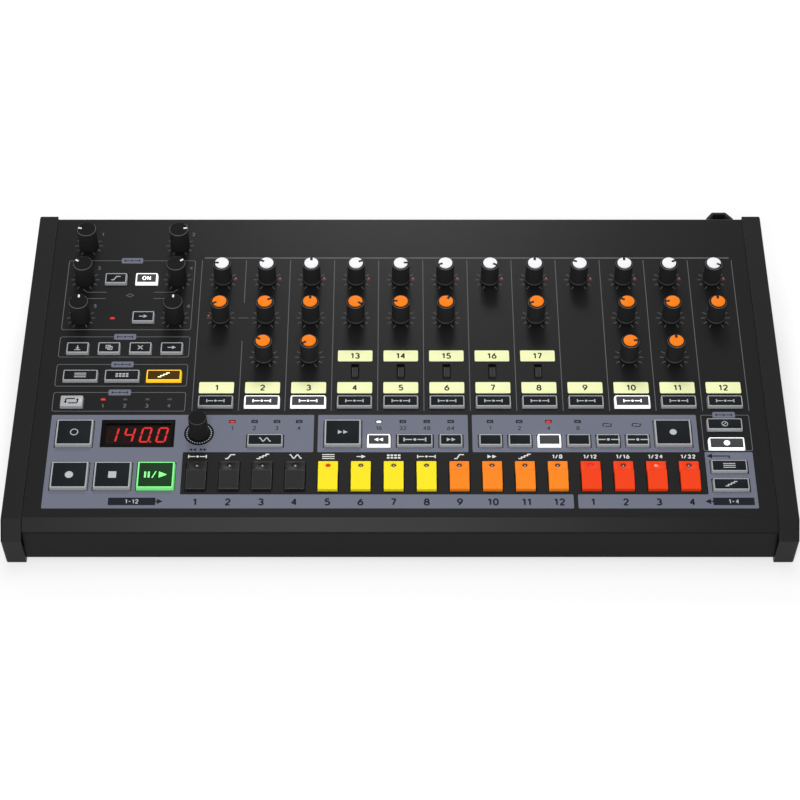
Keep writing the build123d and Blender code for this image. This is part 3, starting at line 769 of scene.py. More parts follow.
STROKES: dict[str, list[Outline]] = {
    "0": [bow(0.3, 0.5, 0.3, 0.5, 0, 360, 20)],
    "1": [[(0.02, 0.78), (0.28, 1.0)], [(0.28, 1.0), (0.28, 0.0)]],
    "2": [[*bow(0.3, 0.72, 0.28, 0.28, 170, -30), (0.03, 0.02)], [(0.0, 0.0), (0.6, 0.0)]],
    "3": [bow(0.28, 0.75, 0.27, 0.25, 150, -90), bow(0.28, 0.25, 0.32, 0.25, 90, -150)],
    "4": [[(0.46, 0.0), (0.46, 1.0)], [(0.46, 0.98), (0.02, 0.3)], [(0.0, 0.3), (0.62, 0.3)]],
    "5": [[(0.56, 1.0), (0.1, 1.0)], [(0.1, 1.0), (0.07, 0.52)], bow(0.28, 0.31, 0.31, 0.31, 130, -145, 10)],
    "6": [bow(0.3, 0.3, 0.3, 0.3, 0, 360, 18), [(0.48, 1.0), (0.22, 0.74), (0.03, 0.4)]],
    "7": [[(0.0, 1.0), (0.58, 1.0)], [(0.57, 0.98), (0.2, 0.0)]],
    "8": [bow(0.3, 0.76, 0.25, 0.24, 0, 360, 16), bow(0.3, 0.27, 0.3, 0.27, 0, 360, 18)],
    "9": [bow(0.3, 0.7, 0.3, 0.3, 0, 360, 18), [(0.12, 0.0), (0.38, 0.26), (0.57, 0.6)]],
    "/": [[(0.0, 0.0), (0.42, 1.0)]],
    "-": [[(0.06, 0.48), (0.44, 0.48)]],
    "O": [bow(0.36, 0.5, 0.36, 0.5, 0, 360, 22)],
    "N": [[(0.0, 0.0), (0.0, 1.0)], [(0.0, 1.0), (0.56, 0.0)], [(0.56, 0.0), (0.56, 1.0)]],
}
SIGN_GAP = 1.9  # between two figures, in widths of a stroke


def figures(
    text: str, size: float, x: float, v: float, low: float, high: float, weight: float = 0.18
) -> Mesh:
    """Printed figures in bold strokes, centred on a point.

    Args:
        text: the figures.
        size: their height.
        x: middle along x.
        v: middle along v.
        low: height of the underside.
        high: height of the face.
        weight: width of a stroke as a share of the height.

    Returns:
        The figures' mesh.
    """
    scale, thick = size * (1 - weight), size * weight
    gap = SIGN_GAP * thick
    pen = 0.0
    lines = []
    for sign in text:
        lines += [[(pen + px * scale, pv * scale) for px, pv in stroke] for stroke in STROKES[sign]]
        pen += max(px for stroke in STROKES[sign] for px, _ in stroke) * scale + gap
    left = x - (pen - gap) / 2
    shell = Shell()
    for line in lines:
        placed = [(left + px, v - scale / 2 + pv) for px, pv in line]
        closed = math.dist(placed[0], placed[-1]) < 1e-6
        shell.ribbon(placed[:-1] if closed else placed, thick, low, high, closed)
    return shell.data()


# ---- Geometry Nodes -------------------------------------------------------------------------
class NodeTool(Wiring):
    """A Geometry Nodes tree with named inputs, run on a mesh of places."""

    NAME = ""
    INPUTS: dict[str, str] = {}

    def __init__(self) -> None:
        """Build the tree; at its end the copies become real and get their finish."""
        super().__init__(bpy.data.node_groups.new(self.NAME, "GeometryNodeTree"))
        interface = self.tree.interface
        self.keys = {}
        for label, kind in {"Places": "Geometry", **self.INPUTS, "Finish": "Material"}.items():
            socket = interface.new_socket(label, in_out="INPUT", socket_type=f"NodeSocket{kind}")
            self.keys[label] = socket.identifier
        interface.new_socket("Pieces", in_out="OUTPUT", socket_type="NodeSocketGeometry")
        given = self.node("NodeGroupInput").outputs
        real = self.node("GeometryNodeRealizeInstances", {0: self.copies(given)}).outputs[0]
        paint = self.node("GeometryNodeSetMaterial", {"Geometry": real, "Material": given["Finish"]})
        self.node("NodeGroupOutput", {0: paint.outputs[0]})

    def copies(self, given: Sockets) -> Socket:
        """Add the tree's own nodes behind its inputs; the socket with its instances."""
        raise NotImplementedError

    def spread(
        self, points: Socket, piece: Socket, turn: Socket | None = None
    ) -> Socket:
        """Copies of a piece on points.

        Args:
            points: the points.
            piece: the piece.
            turn: each copy's angle in radians, or none.

        Returns:
            The instances.
        """
        inputs = {"Points": points, "Instance": piece}
        if turn is not None:
            inputs["Rotation"] = self.node("ShaderNodeCombineXYZ", {"Z": turn}).outputs[0]
        return self.node("GeometryNodeInstanceOnPoints", inputs).outputs[0]

    def run(self, spots: Sequence[Spot], **values: object) -> Mesh:
        """Work the tree out.

        Args:
            spots: the places, each with its turn.
            values: the tree's inputs by name.

        Returns:
            One plain mesh.
        """
        points = bpy.data.meshes.new("places")
        points.from_pydata([(x, v, 0) for x, v, _ in spots], [], [])
        turn = points.attributes.new("turn", "FLOAT", "POINT")
        turn.data.foreach_set("value", [-math.radians(t) for _, _, t in spots])
        holder = bpy.data.objects.new("places", points)
        modifier = holder.modifiers.new("pieces", "NODES")
        modifier.node_group = self.tree
        for label, value in values.items():
            modifier[self.keys[label]] = value
        return evaluated(holder)


class StampTool(NodeTool):
    """Sets a moulded piece on every place, each turned by its own angle."""

    NAME = "stamp_on_places"
    INPUTS = {"Stamp": "Object"}

    def copies(self, given: Sockets) -> Socket:
        """Read the stamp and the places' angles.

        Args:
            given: the tree's inputs.

        Returns:
            The instances.
        """
        piece = self.node("GeometryNodeObjectInfo", {"Object": given["Stamp"]}).outputs["Geometry"]
        turn = self.node("GeometryNodeInputNamedAttribute", {"Name": "turn"}, data_type="FLOAT")
        return self.spread(given["Places"], piece, turn.outputs["Attribute"])

    def stamp(self, mesh: Mesh, spots: Sequence[Spot], finish: Finish) -> Mesh:
        """Copies of a mesh on places.

        Args:
            mesh: the moulded piece.
            spots: the places.
            finish: the finish of all of them.

        Returns:
            One plain mesh.
        """
        source = bpy.data.objects.new("stamp", mesh)
        bpy.context.scene.collection.objects.link(source)
        made = self.run(spots, Stamp=source, Finish=finish.material())
        bpy.data.objects.remove(source)
        return made


class TickTool(NodeTool):
    """Rings of printed ticks around every place."""

    NAME = "tick_ring"
    SIZES = ("Radius", "Length", "Width", "Height", "First", "Step")
    INPUTS = {"Count": "Int", **dict.fromkeys(SIZES, "Float")}

    def copies(self, given: Sockets) -> Socket:
        """Set bars on a ring of points, and the ring on every place.

        Args:
            given: the tree's inputs.

        Returns:
            The instances.
        """
        index = self.node("GeometryNodeInputIndex").outputs[0]
        angle = self.math("MULTIPLY_ADD", index, given["Step"], given["First"])
        reach = {
            axis: self.math("MULTIPLY", self.math(wave, angle), given["Radius"])
            for axis, wave in (("X", "SINE"), ("Y", "COSINE"))
        }
        where = self.node("ShaderNodeCombineXYZ", reach).outputs[0]
        points = self.node("GeometryNodePoints", {"Count": given["Count"], "Position": where})
        sizes = {"X": given["Width"], "Y": given["Length"], "Z": given["Height"]}
        size = self.node("ShaderNodeCombineXYZ", sizes).outputs[0]
        bar = self.node("GeometryNodeMeshCube", {"Size": size}).outputs["Mesh"]
        ring = self.spread(points.outputs[0], bar, self.math("MULTIPLY", angle, -1.0))
        return self.spread(given["Places"], ring)


# ---- pieces and the workshop ----------------------------------------------------------------
class Piece:
    """One finished object: closed shells in their finishes, gathered in one mesh."""

    def __init__(self, shop: Workshop, name: str, body: str = "chassis") -> None:
        """Open a piece.

        Args:
            shop: the workshop.
            name: the object's name.
            body: the body it rides on.
        """
        self.shop = shop
        self.name = name
        self.body = body
        self.mesh = bmesh.new()
        self.finishes: list[Finish] = []

    def add(self, mesh: Mesh, finish: Finish, place: Place | None = None) -> None:
        """Take in a mesh.

        Args:
            mesh: the mesh, in the frame's millimetres; it is used up.
            finish: its finish.
            place: the working frame it was drawn in, if that isn't the panel.
        """
        if finish not in self.finishes:
            self.finishes.append(finish)
        mesh.transform((place or self.shop.panel).matrix)
        mesh.polygons.foreach_set("material_index", [self.finishes.index(finish)] * len(mesh.polygons))
        self.mesh.from_mesh(mesh)
        bpy.data.meshes.remove(mesh)

    def gather(self, parts: Parts, place: Place | None = None) -> None:
        """Take in parts, each drawn once."""
        for mesh, finish in parts:
            self.add(mesh, finish, place)

    def stamp(self, parts: Parts, spots: Sequence[Spot], place: Place | None = None) -> None:
        """Take in copies of parts, set on spots of a working frame."""
        for mesh, finish in parts:
            self.add(self.shop.stamps.stamp(mesh, spots, finish), finish, place)

    def done(self, *replaced: str) -> None:
        """Put the piece into the scene.

        Args:
            replaced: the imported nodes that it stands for.
        """
        mesh = bpy.data.meshes.new(self.name)
        self.mesh.to_mesh(mesh)
        self.mesh.free()
        for finish in self.finishes:
            mesh.materials.append(finish.material())
        item = bpy.data.objects.new(self.name, mesh)
        bpy.context.scene.collection.objects.link(item)
        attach(item, self.body)
        if replaced:
            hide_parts(*replaced)
        LOG.info("%s: %d faces on %s", self.name, len(mesh.polygons), self.body)


LEVEL_ROW = 197.0  # the level knobs' place up the panel
CHANNELS = 12
CHANNEL_PITCH = 30.0
FIRST_DIVIDER = -134.5
BAR_LAMP = 2.8  # rectangular lamps are wider than this
INK = (-0.02, 0.03)  # a print's underside and face, about the panel's face
RAISED = (0.0, 0.06)  # the same where it lies on other print


@dataclass
class Workshop:
    """What every sub-assembly works with."""

    frame: dict
    panel: Place
    rear: Place
    stamps: StampTool = field(default_factory=StampTool)
    ticks: TickTool = field(default_factory=TickTool)

    @staticmethod
    def open() -> Workshop:
        """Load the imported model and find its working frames.

        Returns:
            The workshop.
        """
        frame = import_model()
        first = next(j for j in frame["joints"] if j["name"] == "accent_level_turn")
        out = Vector(first["axis"])
        up = Vector((0, out.z, -out.y))
        shift = up * LEVEL_ROW * MM
        panel = Place.on(Vector((0, *first["pos_m"][1:])) - shift, Vector((1, 0, 0)), up)
        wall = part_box("base_pan")[1].y
        rear = Place.on(Vector((0, wall, 0)), Vector((-1, 0, 0)), Vector((0, 0, 1)))
        return Workshop(frame, panel, rear)

    def solids(self, node: str) -> list[Solid]:
        """The solids of a node, measured on the panel."""
        return solids_of(self.frame, node, self.panel)

    def lamps(self, low: float, high: float) -> list[Solid]:
        """The rectangular lamps between two heights up the panel, in reading order."""
        lamps = self.solids("indicator_lights")
        return [lamp for lamp in lamps if lamp.size.x > BAR_LAMP and low < lamp.v < high]

    def knobs(self) -> dict[str, Spot]:
        """Where every knob turns, at the angle where its travel is centred.

        Returns:
            The spots on the panel, by body.
        """
        back = self.panel.matrix.inverted()
        found = {}
        for joint in self.frame["joints"]:
            if "knob" in joint["child"]:
                centre = back @ Vector(joint["pos_m"])
                turn = sum(joint["range_deg"]) / 2 if "range_deg" in joint else 0.0
                found[joint["child"]] = (centre.x, centre.y, turn)
        return found


# ---- knobs ----------------------------------------------------------------------------------
@dataclass
class Knobs:
    """Turned grips with their caps and pointers, one piece for each turning body."""

    shop: Workshop
    sides: int = 48
    lift: float = 0.6
    height: float = 16.6
    skirt: float = 6.36
    skirt_height: float = 1.2
    waist: float = 6.04
    neck: float = 5.8
    cap: float = 4.64
    cap_top: float = 17.5
    notch: float = 0.82
    notch_reach: float = 2.0
    black_radius: float = 6.55
    black_neck: float = 6.3
    black_top: float = 17.05
    encoder_radius: float = 6.2

    def build(self) -> None:
        """Make every knob."""
        for body, (x, v, turn) in self.shop.knobs().items():
            if "effect" in body:
                parts = self.black()
            elif "data" in body:
                parts = self.encoder()
            else:
                parts = self.capped(CAP_WHITE if "level" in body else CAP_ORANGE)
            piece = Piece(self.shop, f"{body}_finish", body)
            piece.gather(parts, self.shop.panel.at(x, v, 0, turn))
            piece.done(body)

    def grip(self, foot: Sequence[Point], neck: float, crown: Sequence[Point], rim: Finish) -> Parts:
        """A turned grip with a thin chamfer around its top, painted pale as a highlight.

        Args:
            foot: radii and heights from its underside up to the neck.
            neck: radius of the neck.
            crown: radii and heights of the top, its highest point first.
            rim: finish of the chamfer, pale as a painted highlight.

        Returns:
            Grip, chamfer with its painted highlight, and the top painted darker as shade, with their finishes.
        """
        top = crown[0][1]
        rise = [(neck, top - 0.5), (neck - 0.35, top - 0.06)]
        profile = [(3.0, self.lift - 0.4), (3.2, self.lift), *foot, *rise, *crown]
        chamfer = [
            (neck - 0.36, top - 0.4), (neck + 0.01, top - 0.34), (neck + 0.01, top - 0.3),
            (neck - 0.14, top - 0.1), (neck - 0.22, top + 0.01), (neck - 0.36, top - 0.1),
        ]
        # top disc painted darker as shade, also the dark ring between cap and chamfer
        disc = [(neck - 0.28, top - 0.3), (neck - 0.28, top + 0.012)]
        return [
            (Shell().turned(profile, self.sides).data(40), KNOB_BLACK),
            (Shell().turned(chamfer, self.sides, closed=True).data(50), rim),
            (Shell().turned(disc, self.sides).data(), KNOB_TOP_SHADE),
        ]

    def capped(self, finish: Finish) -> Parts:
        """Grip with a skirt, and the raised cap with its notch.

        Args:
            finish: finish of the cap.

        Returns:
            Meshes and their finishes.
        """
        top, cap_top, wide = self.height, self.cap_top, self.skirt
        step = self.lift + self.skirt_height
        foot = [(wide - 0.15, self.lift), (wide, self.lift + 0.15), (wide, step), (self.waist, step + 0.5)]
        shoulder = [
            (self.waist - 0.2, step - 0.3), (wide + 0.01, step - 0.2), (wide + 0.01, step),
            (self.waist + 0.1, step + 0.36), (self.waist - 0.2, step + 0.3),
        ]
        cap = [
            self.cap_ring(self.cap - inset, self.notch + inset, self.notch_reach - inset, w)
            for inset, w in ((0.0, top - 0.35), (0.0, cap_top - 0.2), (0.05, cap_top - 0.06), (0.2, cap_top))
        ]
        half, near, far = self.notch + 0.12, self.notch_reach, self.cap - 0.25
        floor = [(-half, near), (half, near), (half, far), (-half, far)]
        return [
            *self.grip(foot, self.neck, [(self.neck - 0.45, top)], KNOB_RIM_HIGHLIGHT),
            # shoulder ring of the skirt, painted pale as a highlight
            (Shell().turned(shoulder, self.sides, closed=True).data(50), KNOB_SHOULDER_HIGHLIGHT),
            (Shell().loft(cap).data(), finish),
            (Shell().prism(floor, top - 0.2, cap_top - 0.14).data(), KNOB_BLACK),
        ]

    @staticmethod
    def cap_ring(radius: float, half: float, reach: float, w: float, count: int = 40) -> Ring:
        """Outline of a round cap with a notch from its rim towards the middle.

        Args:
            radius: the cap's radius.
            half: half the notch's width.
            reach: distance of the notch's inner end from the middle.
            w: height.
            count: divisions of the rim.

        Returns:
            The points, anticlockwise.
        """
        gap = math.asin(half / radius)
        turns = (math.pi / 2 + gap + (math.tau - 2 * gap) * i / count for i in range(count + 1))
        ring = [Vector((radius * math.cos(a), radius * math.sin(a), w)) for a in turns]
        inner = ((1.0, 0.3), (0.7, 0.06), (0.0, 0.0), (-0.7, 0.06), (-1.0, 0.3))
        return ring + [Vector((half * share, reach + rise, w)) for share, rise in inner]

    def black(self) -> Parts:
        """One-piece black grip with a white pointer line at its rim.

        Returns:
            Meshes and their finishes.
        """
        top, wide, neck = self.black_top, self.black_radius, self.black_neck
        foot = [(wide - 0.12, self.lift), (wide, self.lift + 0.12), (wide - 0.02, self.lift + 2.0)]
        line = [(-0.6, neck - 2.9), (0.6, neck - 2.9), (0.6, neck - 0.5), (-0.6, neck - 0.5)]
        pointer = Shell().prism(rounded(line, 0.2), top - 0.4, top + 0.02).data()
        return [*self.grip(foot, neck, self.hollow(neck, top), KNOB_RIM_HIGHLIGHT), (pointer, CAP_WHITE)]

    def encoder(self) -> Parts:
        """Endless encoder's grip: a waist above a wider foot.

        Returns:
            Meshes and their finishes.
        """
        wide, neck = self.encoder_radius, self.encoder_radius - 0.3
        foot = [
            (wide + 0.1, self.lift), (wide + 0.2, self.lift + 0.12), (wide + 0.1, self.lift + 1.6),
            (wide - 0.1, self.lift + 3.0),
        ]
        # the encoder's chamfer is painted pale as a highlight
        return self.grip(foot, neck, self.hollow(neck, self.height), KNOB_SHOULDER_HIGHLIGHT)

    @staticmethod
    def hollow(neck: float, top: float) -> list[Point]:
        """A crown that falls slightly towards the middle."""
        return [(neck - 0.5, top), (neck - 1.5, top - 0.05), (1.0, top - 0.09)]


# ---- signs ----------------------------------------------------------------------------------
Shape = tuple[Outline, float, bool]  # a line, its width and whether it is closed; width 0 is filled


def drawn(line: Outline, width: float = 0.42, closed: bool = False) -> Shape:
    """A drawn line of a sign."""
    return line, width, closed


def filled(*corners: Point) -> Shape:
    """A filled convex shape of a sign."""
    return list(corners), 0.0, True


def wedge(x: float, side: int) -> Shape:
    """A filled arrow head whose tip points to one side."""
    return filled((x - side * 0.75, -0.85 * side), (x + side * 0.85, 0), (x - side * 0.75, 0.85 * side))


class Mark(Enum):
    """Plain signs on keys and print, about two millimetres high: a word, or shapes."""

    NONE = ()
    ON = "ON"
    LINE = (
        *(drawn([(side * 1.1, 0), (side * 4.3, 0)], 0.5) for side in (1, -1)),
        *(drawn([(side * 4.3, -0.95), (side * 4.3, 0.95)], 0.55) for side in (1, -1)),
        filled(*shifted(round_ring(0.62, 0, 16))),
    )
    DOWN = (
        drawn([(0, 1.1), (0, -0.2)]), filled((-0.8, -0.1), (0, -1.0), (0.8, -0.1)),
        drawn([(-1.2, -1.2), (1.2, -1.2)], 0.36),
    )
    COPY = tuple(
        drawn([(x, v), (x, v + 1.5), (x + 1.7, v + 1.5), (x + 1.7, v)], 0.34, True)
        for x, v in ((-1.2, -0.4), (-0.4, -1.1))
    )
    CROSS = tuple(drawn([(-0.95, side * 0.95), (0.95, -side * 0.95)]) for side in (1, -1))
    RIGHT = (drawn([(-1.7, 0), (0.4, 0)]), wedge(0.9, 1))
    BARS = tuple(drawn([(-2.4, v), (2.4, v)], 0.4) for v in (-0.95, 0, 0.95))
    GRID = tuple(
        filled((x - 0.5, v - 0.38), (x + 0.5, v - 0.38), (x + 0.5, v + 0.38), (x - 0.5, v + 0.38))
        for x in (-2.1, -0.7, 0.7, 2.1) for v in (-0.6, 0.6)
    )
    STAIRS = (drawn([(1.2 * (i // 2 + i % 2) - 2.4, 0.7 * (i // 2) - 1.0) for i in range(8)], 0.46),)
    SLOPE = (drawn([(-1.9, -1.0), (-0.9, -1.0), (0.2, 0.9), (1.9, 0.9)], 0.46),)
    DOT = (filled(*shifted(round_ring(1.25, 0, 28))),)
    RING = (drawn(shifted(round_ring(1.3, 0, 28)), 0.32, True),)
    SQUARE = (filled((-1.2, -1.2), (1.2, -1.2), (1.2, 1.2), (-1.2, 1.2)),)
    PLAY = (
        *(filled((x, -1.1), (x + 0.55, -1.1), (x + 0.55, 1.1), (x, 1.1)) for x in (-3.4, -2.3)),
        drawn([(-1.0, -1.25), (0.1, 1.25)], 0.3), filled((1.0, -1.15), (3.4, 0), (1.0, 1.15)),
    )
    BACK = (wedge(-0.95, -1), wedge(0.95, -1))
    AHEAD = (wedge(-0.95, 1), wedge(0.95, 1))
    LOOP = (
        *(
            drawn([(-3.2 * s, -0.6 * s), (-3.2 * s, 0.9 * s), (-2.6 * s, 1.5 * s), (1.8 * s, 1.5 * s)], 0.72)
            for s in (1, -1)
        ),
        *(filled((-4.1 * s, -0.5 * s), (-3.2 * s, -1.8 * s), (-2.3 * s, -0.5 * s)) for s in (1, -1)),
    )
    SLASH = (drawn(shifted(round_ring(1.15, 0, 24)), 0.28, True), drawn([(-0.8, -0.8), (0.8, 0.8)], 0.28))
    WAVE = (drawn([(0.4 * i, 0.9 * math.sin(i * 0.9)) for i in range(-6, 7)]),)

    def meshes(self, low: float, high: float, scale: float) -> list[Mesh]:
        """The separate shapes of the sign.

        Args:
            low: height of the underside.
            high: height of the face.
            scale: the sign's size.

        Returns:
            Their meshes.
        """
        if isinstance(self.value, str):
            return [figures(self.value, 2.3 * scale, 0, 0, low, high)]
        made = []
        for line, width, closed in self.value:
            points = [(x * scale, v * scale) for x, v in line]
            if width:
                shell = Shell().ribbon(points, width * scale, low, high, closed)
            else:
                shell = Shell().prism(points, low, high)
            made.append(shell.data())
        return made


# ---- keys with a framed face ----------------------------------------------------------------
@dataclass
class KeyForm:
    """Sizes of a drafted key with a frame about its face."""

    width: float
    depth: float
    height: float
    face_width: float
    face_depth: float
    collar: float = -1.6
    flange: float = 1.2
    flange_low: float = -2.9
    stem: float = 3.4
    draft: float = 0.5
    corner: float = 0.9
    recess: float = 0.16

    def step(self, inset: float, w: float) -> Step:
        """Outline of the key at a height, drawn in by an inset."""
        return self.width - 2 * inset, self.depth - 2 * inset, max(self.corner - inset / 2, 0.3), w

    def misfit(self, solid: Solid) -> float:
        """How far a packed key's size is from the form's."""
        wide, deep = self.width + 2 * self.flange, self.depth + 2 * self.flange
        return abs(wide - solid.size.x) + abs(deep - solid.size.y)

    def foot(self, stem_low: float) -> Mesh:
        """Flange and stem under the panel.

        Args:
            stem_low: height of the stem's end.

        Returns:
            The mesh.
        """
        stem = [(self.stem, self.stem, 0.3, w) for w in (stem_low, self.flange_low)]
        flange = [self.step(-self.flange, w) for w in (self.flange_low, self.collar)]
        return Shell().stepped([*stem, *flange]).data()

    def frame(self, solid_face: bool) -> Mesh:
        """Key body with its rounded rim.

        Args:
            solid_face: leave out the recess for the face.

        Returns:
            The mesh.
        """
        top, draft = self.height, self.draft
        steps = [
            self.step(0.0, self.collar - 0.1), self.step(0.0, 0.0), self.step(draft - 0.1, top - 0.42),
            self.step(draft - 0.02, top - 0.16), self.step(draft + 0.18, top),
        ]
        if not solid_face:
            for inset, w in ((0.0, top), (0.08, top - self.recess / 2), (0.1, top - 2 * self.recess)):
                steps.append((self.face_width - 2 * inset, self.face_depth - 2 * inset, 0.35, w))
        return Shell().stepped(steps).data(48)

    def face(self) -> Mesh:
        """Dark face plate set into the frame.

        Returns:
            The mesh.
        """
        floor, top = self.height - 3 * self.recess, self.height - self.recess
        wide, deep = self.face_width - 0.3, self.face_depth - 0.3
        steps = [(wide, deep, 0.3, w) for w in (floor, top - 0.06)]
        steps.append((wide - 0.14, deep - 0.14, 0.25, top))
        return Shell().stepped(steps).data(48)


KEY_FORMS = (
    KeyForm(15.2, 9.6, 2.0, 13.1, 7.5),
    KeyForm(23.2, 9.6, 2.0, 21.2, 7.7),
    KeyForm(24.0, 21.0, 2.5, 21.4, 18.9),
)


@dataclass
class FramedKeys:
    """Keys of one body: frames and faces stamped on their places, then the printed signs."""

    shop: Workshop
    node: str
    marks: Sequence[Mark]
    lit: dict[int, Glow] = field(default_factory=dict)
    plain: int = -1  # number of a key that has no dark face
    mark_scale: float = 1.0
    plain_scale: float = 1.2

    def build(self) -> None:
        """Make the body's keys as one piece."""
        piece = Piece(self.shop, f"{self.node}_finish", self.node)
        solids = self.shop.solids(self.node)
        forms = [min(KEY_FORMS, key=lambda form: form.misfit(solid)) for solid in solids]
        groups: dict[tuple[float, Glow, bool], list[int]] = {}
        for i, form in enumerate(forms):
            groups.setdefault((form.width, self.lit.get(i, Glow.OFF), i == self.plain), []).append(i)
        for (_, glow, plain), members in groups.items():
            form = forms[members[0]]
            frame_finish, face_finish, _ = glow.value
            # the flange is painted dark as shade in the gap around the key
            parts = [(form.frame(plain), frame_finish), (form.foot(solids[members[0]].low.z), KEY_FOOT_SHADE)]
            if not plain:
                parts.append((form.face(), face_finish))
            piece.stamp(parts, [solids[i].spot for i in members])
        for i, (solid, form, mark) in enumerate(zip(solids, forms, self.marks)):
            top, ink, scale = form.height - form.recess, self.lit.get(i, Glow.OFF).value[2], self.mark_scale
            if i == self.plain:
                top, ink, scale = form.height, INK_BLACK, self.plain_scale
            for mesh in mark.meshes(top - 0.03, top + 0.02, scale):
                piece.add(mesh, ink, self.shop.panel.at(solid.x, solid.v))
        piece.done(self.node)


# ---- step keys ------------------------------------------------------------------------------
@dataclass
class StepKeys:
    """The sixteen step keys: a low ledge with a light well and a dished pad."""

    shop: Workshop
    width: float = 12.6
    pad_width: float = 12.3
    pad_inset: float = 0.4
    length: float = 23.0
    ledge: float = 8.5
    ledge_top: float = 1.0
    pad_rear: float = 3.2
    pad_front: float = 1.5
    lean: float = 0.6
    dish: float = 0.2
    well: float = 1.7
    well_from_rear: float = 3.0
    collar: float = -1.6
    stem: float = 3.4
    flange: float = 1.2
    flange_low: float = -2.9

    def build(self) -> None:
        """Make the four groups, one for each colour."""
        for colour, finish in STEP_FINISHES.items():
            node = f"step_keys_{colour}"
            solids = self.shop.solids(node)
            piece = Piece(self.shop, f"{node}_finish", node)
            foot = self.foot_mesh(solids[0].low.z)
            # the flange is painted dark as shade in the gap around the key
            parts = [(self.ledge_mesh(), finish), (self.pad_mesh(), finish), (foot, KEY_FOOT_SHADE)]
            piece.stamp(parts, [solid.spot for solid in solids])
            piece.done(node)

    def ledge_mesh(self) -> Mesh:
        """The rear ledge, pierced by its light well.

        Returns:
            The mesh.
        """
        top, low = self.ledge_top, self.collar
        middle = self.length / 2 - self.ledge / 2
        hole_v = self.length / 2 - self.well_from_rear - middle
        outer = [
            corner_ring(self.width - 2 * inset, self.ledge - 2 * inset, 0.5, w, 2, 6)
            for inset, w in ((0.0, low), (0.0, top - 0.3), (0.08, top - 0.08), (0.3, top))
        ]
        inner = [
            [self.around(point, hole_v, radius, w) for point in outer[0]]
            for radius, w in ((self.well + 0.18, top), (self.well, top - 0.16), (self.well, low))
        ]
        made = Shell().loft(outer + inner, closed=True).data(48)
        made.transform(Matrix.Translation((0, middle, 0)))
        return made

    @staticmethod
    def around(point: Vector, v: float, radius: float, w: float) -> Vector:
        """The point on a circle about (0, v) that lies towards another point."""
        angle = math.atan2(point.y - v, point.x)
        return Vector((radius * math.cos(angle), v + radius * math.sin(angle), w))

    def pad_mesh(self) -> Mesh:
        """The raised finger pad with its dished face and rounded edges.

        Returns:
            The mesh.
        """
        front, rear = -self.length / 2 + self.pad_inset, self.length / 2 - self.ledge
        face_front = front + self.lean
        section = [(front, self.collar), (rear, self.collar), (rear, self.pad_rear)]
        parts = 8  # divisions of the face
        for i in range(1, parts):
            t = 1 - i / parts
            v = face_front + (rear - face_front) * t
            w = self.pad_front + (self.pad_rear - self.pad_front) * t - self.dish * 4 * t * (1 - t)
            section.append((v, w))
        section += [(face_front, self.pad_front), (front, 0.0)]
        return Shell().across(section, self.pad_width / 2).soften(0.38, 3, 30).data(40)

    def foot_mesh(self, stem_low: float) -> Mesh:
        """Flange and stem under the panel, the flange open under the light well.

        Args:
            stem_low: height of the stem's end.

        Returns:
            The mesh.
        """
        front = -self.length / 2 - self.flange
        rear = self.length / 2 - self.well_from_rear - self.well - 0.6
        wide, low = self.width + 2 * self.flange, self.flange_low
        stem = [corner_ring(self.stem, self.stem, 0.3, w) for w in (stem_low, low)]
        flange = [corner_ring(wide, rear - front, 0.5, w) for w in (low, self.collar - 0.05)]
        for point in flange[0] + flange[1]:
            point.y += (front + rear) / 2
        return Shell().loft([*stem, *flange]).data()


# ---- slide levers, lamps and display --------------------------------------------------------
@dataclass
class VoiceSwitches:
    """The five slide levers with their grooves."""

    shop: Workshop
    height: float = 1.2
    groove: float = 0.35
    side_gap: float = 0.45
    front_gap: float = 0.7

    def build(self) -> None:
        """Make the levers, which slide as one body."""
        node = "voice_switches"
        solids = self.shop.solids(node)
        low, size, top = solids[0].low.z, solids[0].size, self.height
        half = size.x / 2 - self.side_gap
        section = [(-half, low), (half, low), (half, top)]
        for x in (half * 0.5, 0.0, -half * 0.5):
            section += [(x + self.groove, top), (x, top - self.groove), (x - self.groove, top)]
        section.append((-half, top))
        lever = Shell().across(section, (size.y - self.front_gap) / 2).soften(0.12, 2, 35).data(40)
        turn = Matrix.Rotation(math.pi / 2, 4, "Z")
        lever.transform(Matrix.Translation((0, self.front_gap / 2, 0)) @ turn)
        piece = Piece(self.shop, f"{node}_finish", node)
        piece.stamp([(lever, SLIDER_GREY)], [solid.spot for solid in solids])
        piece.done(node)


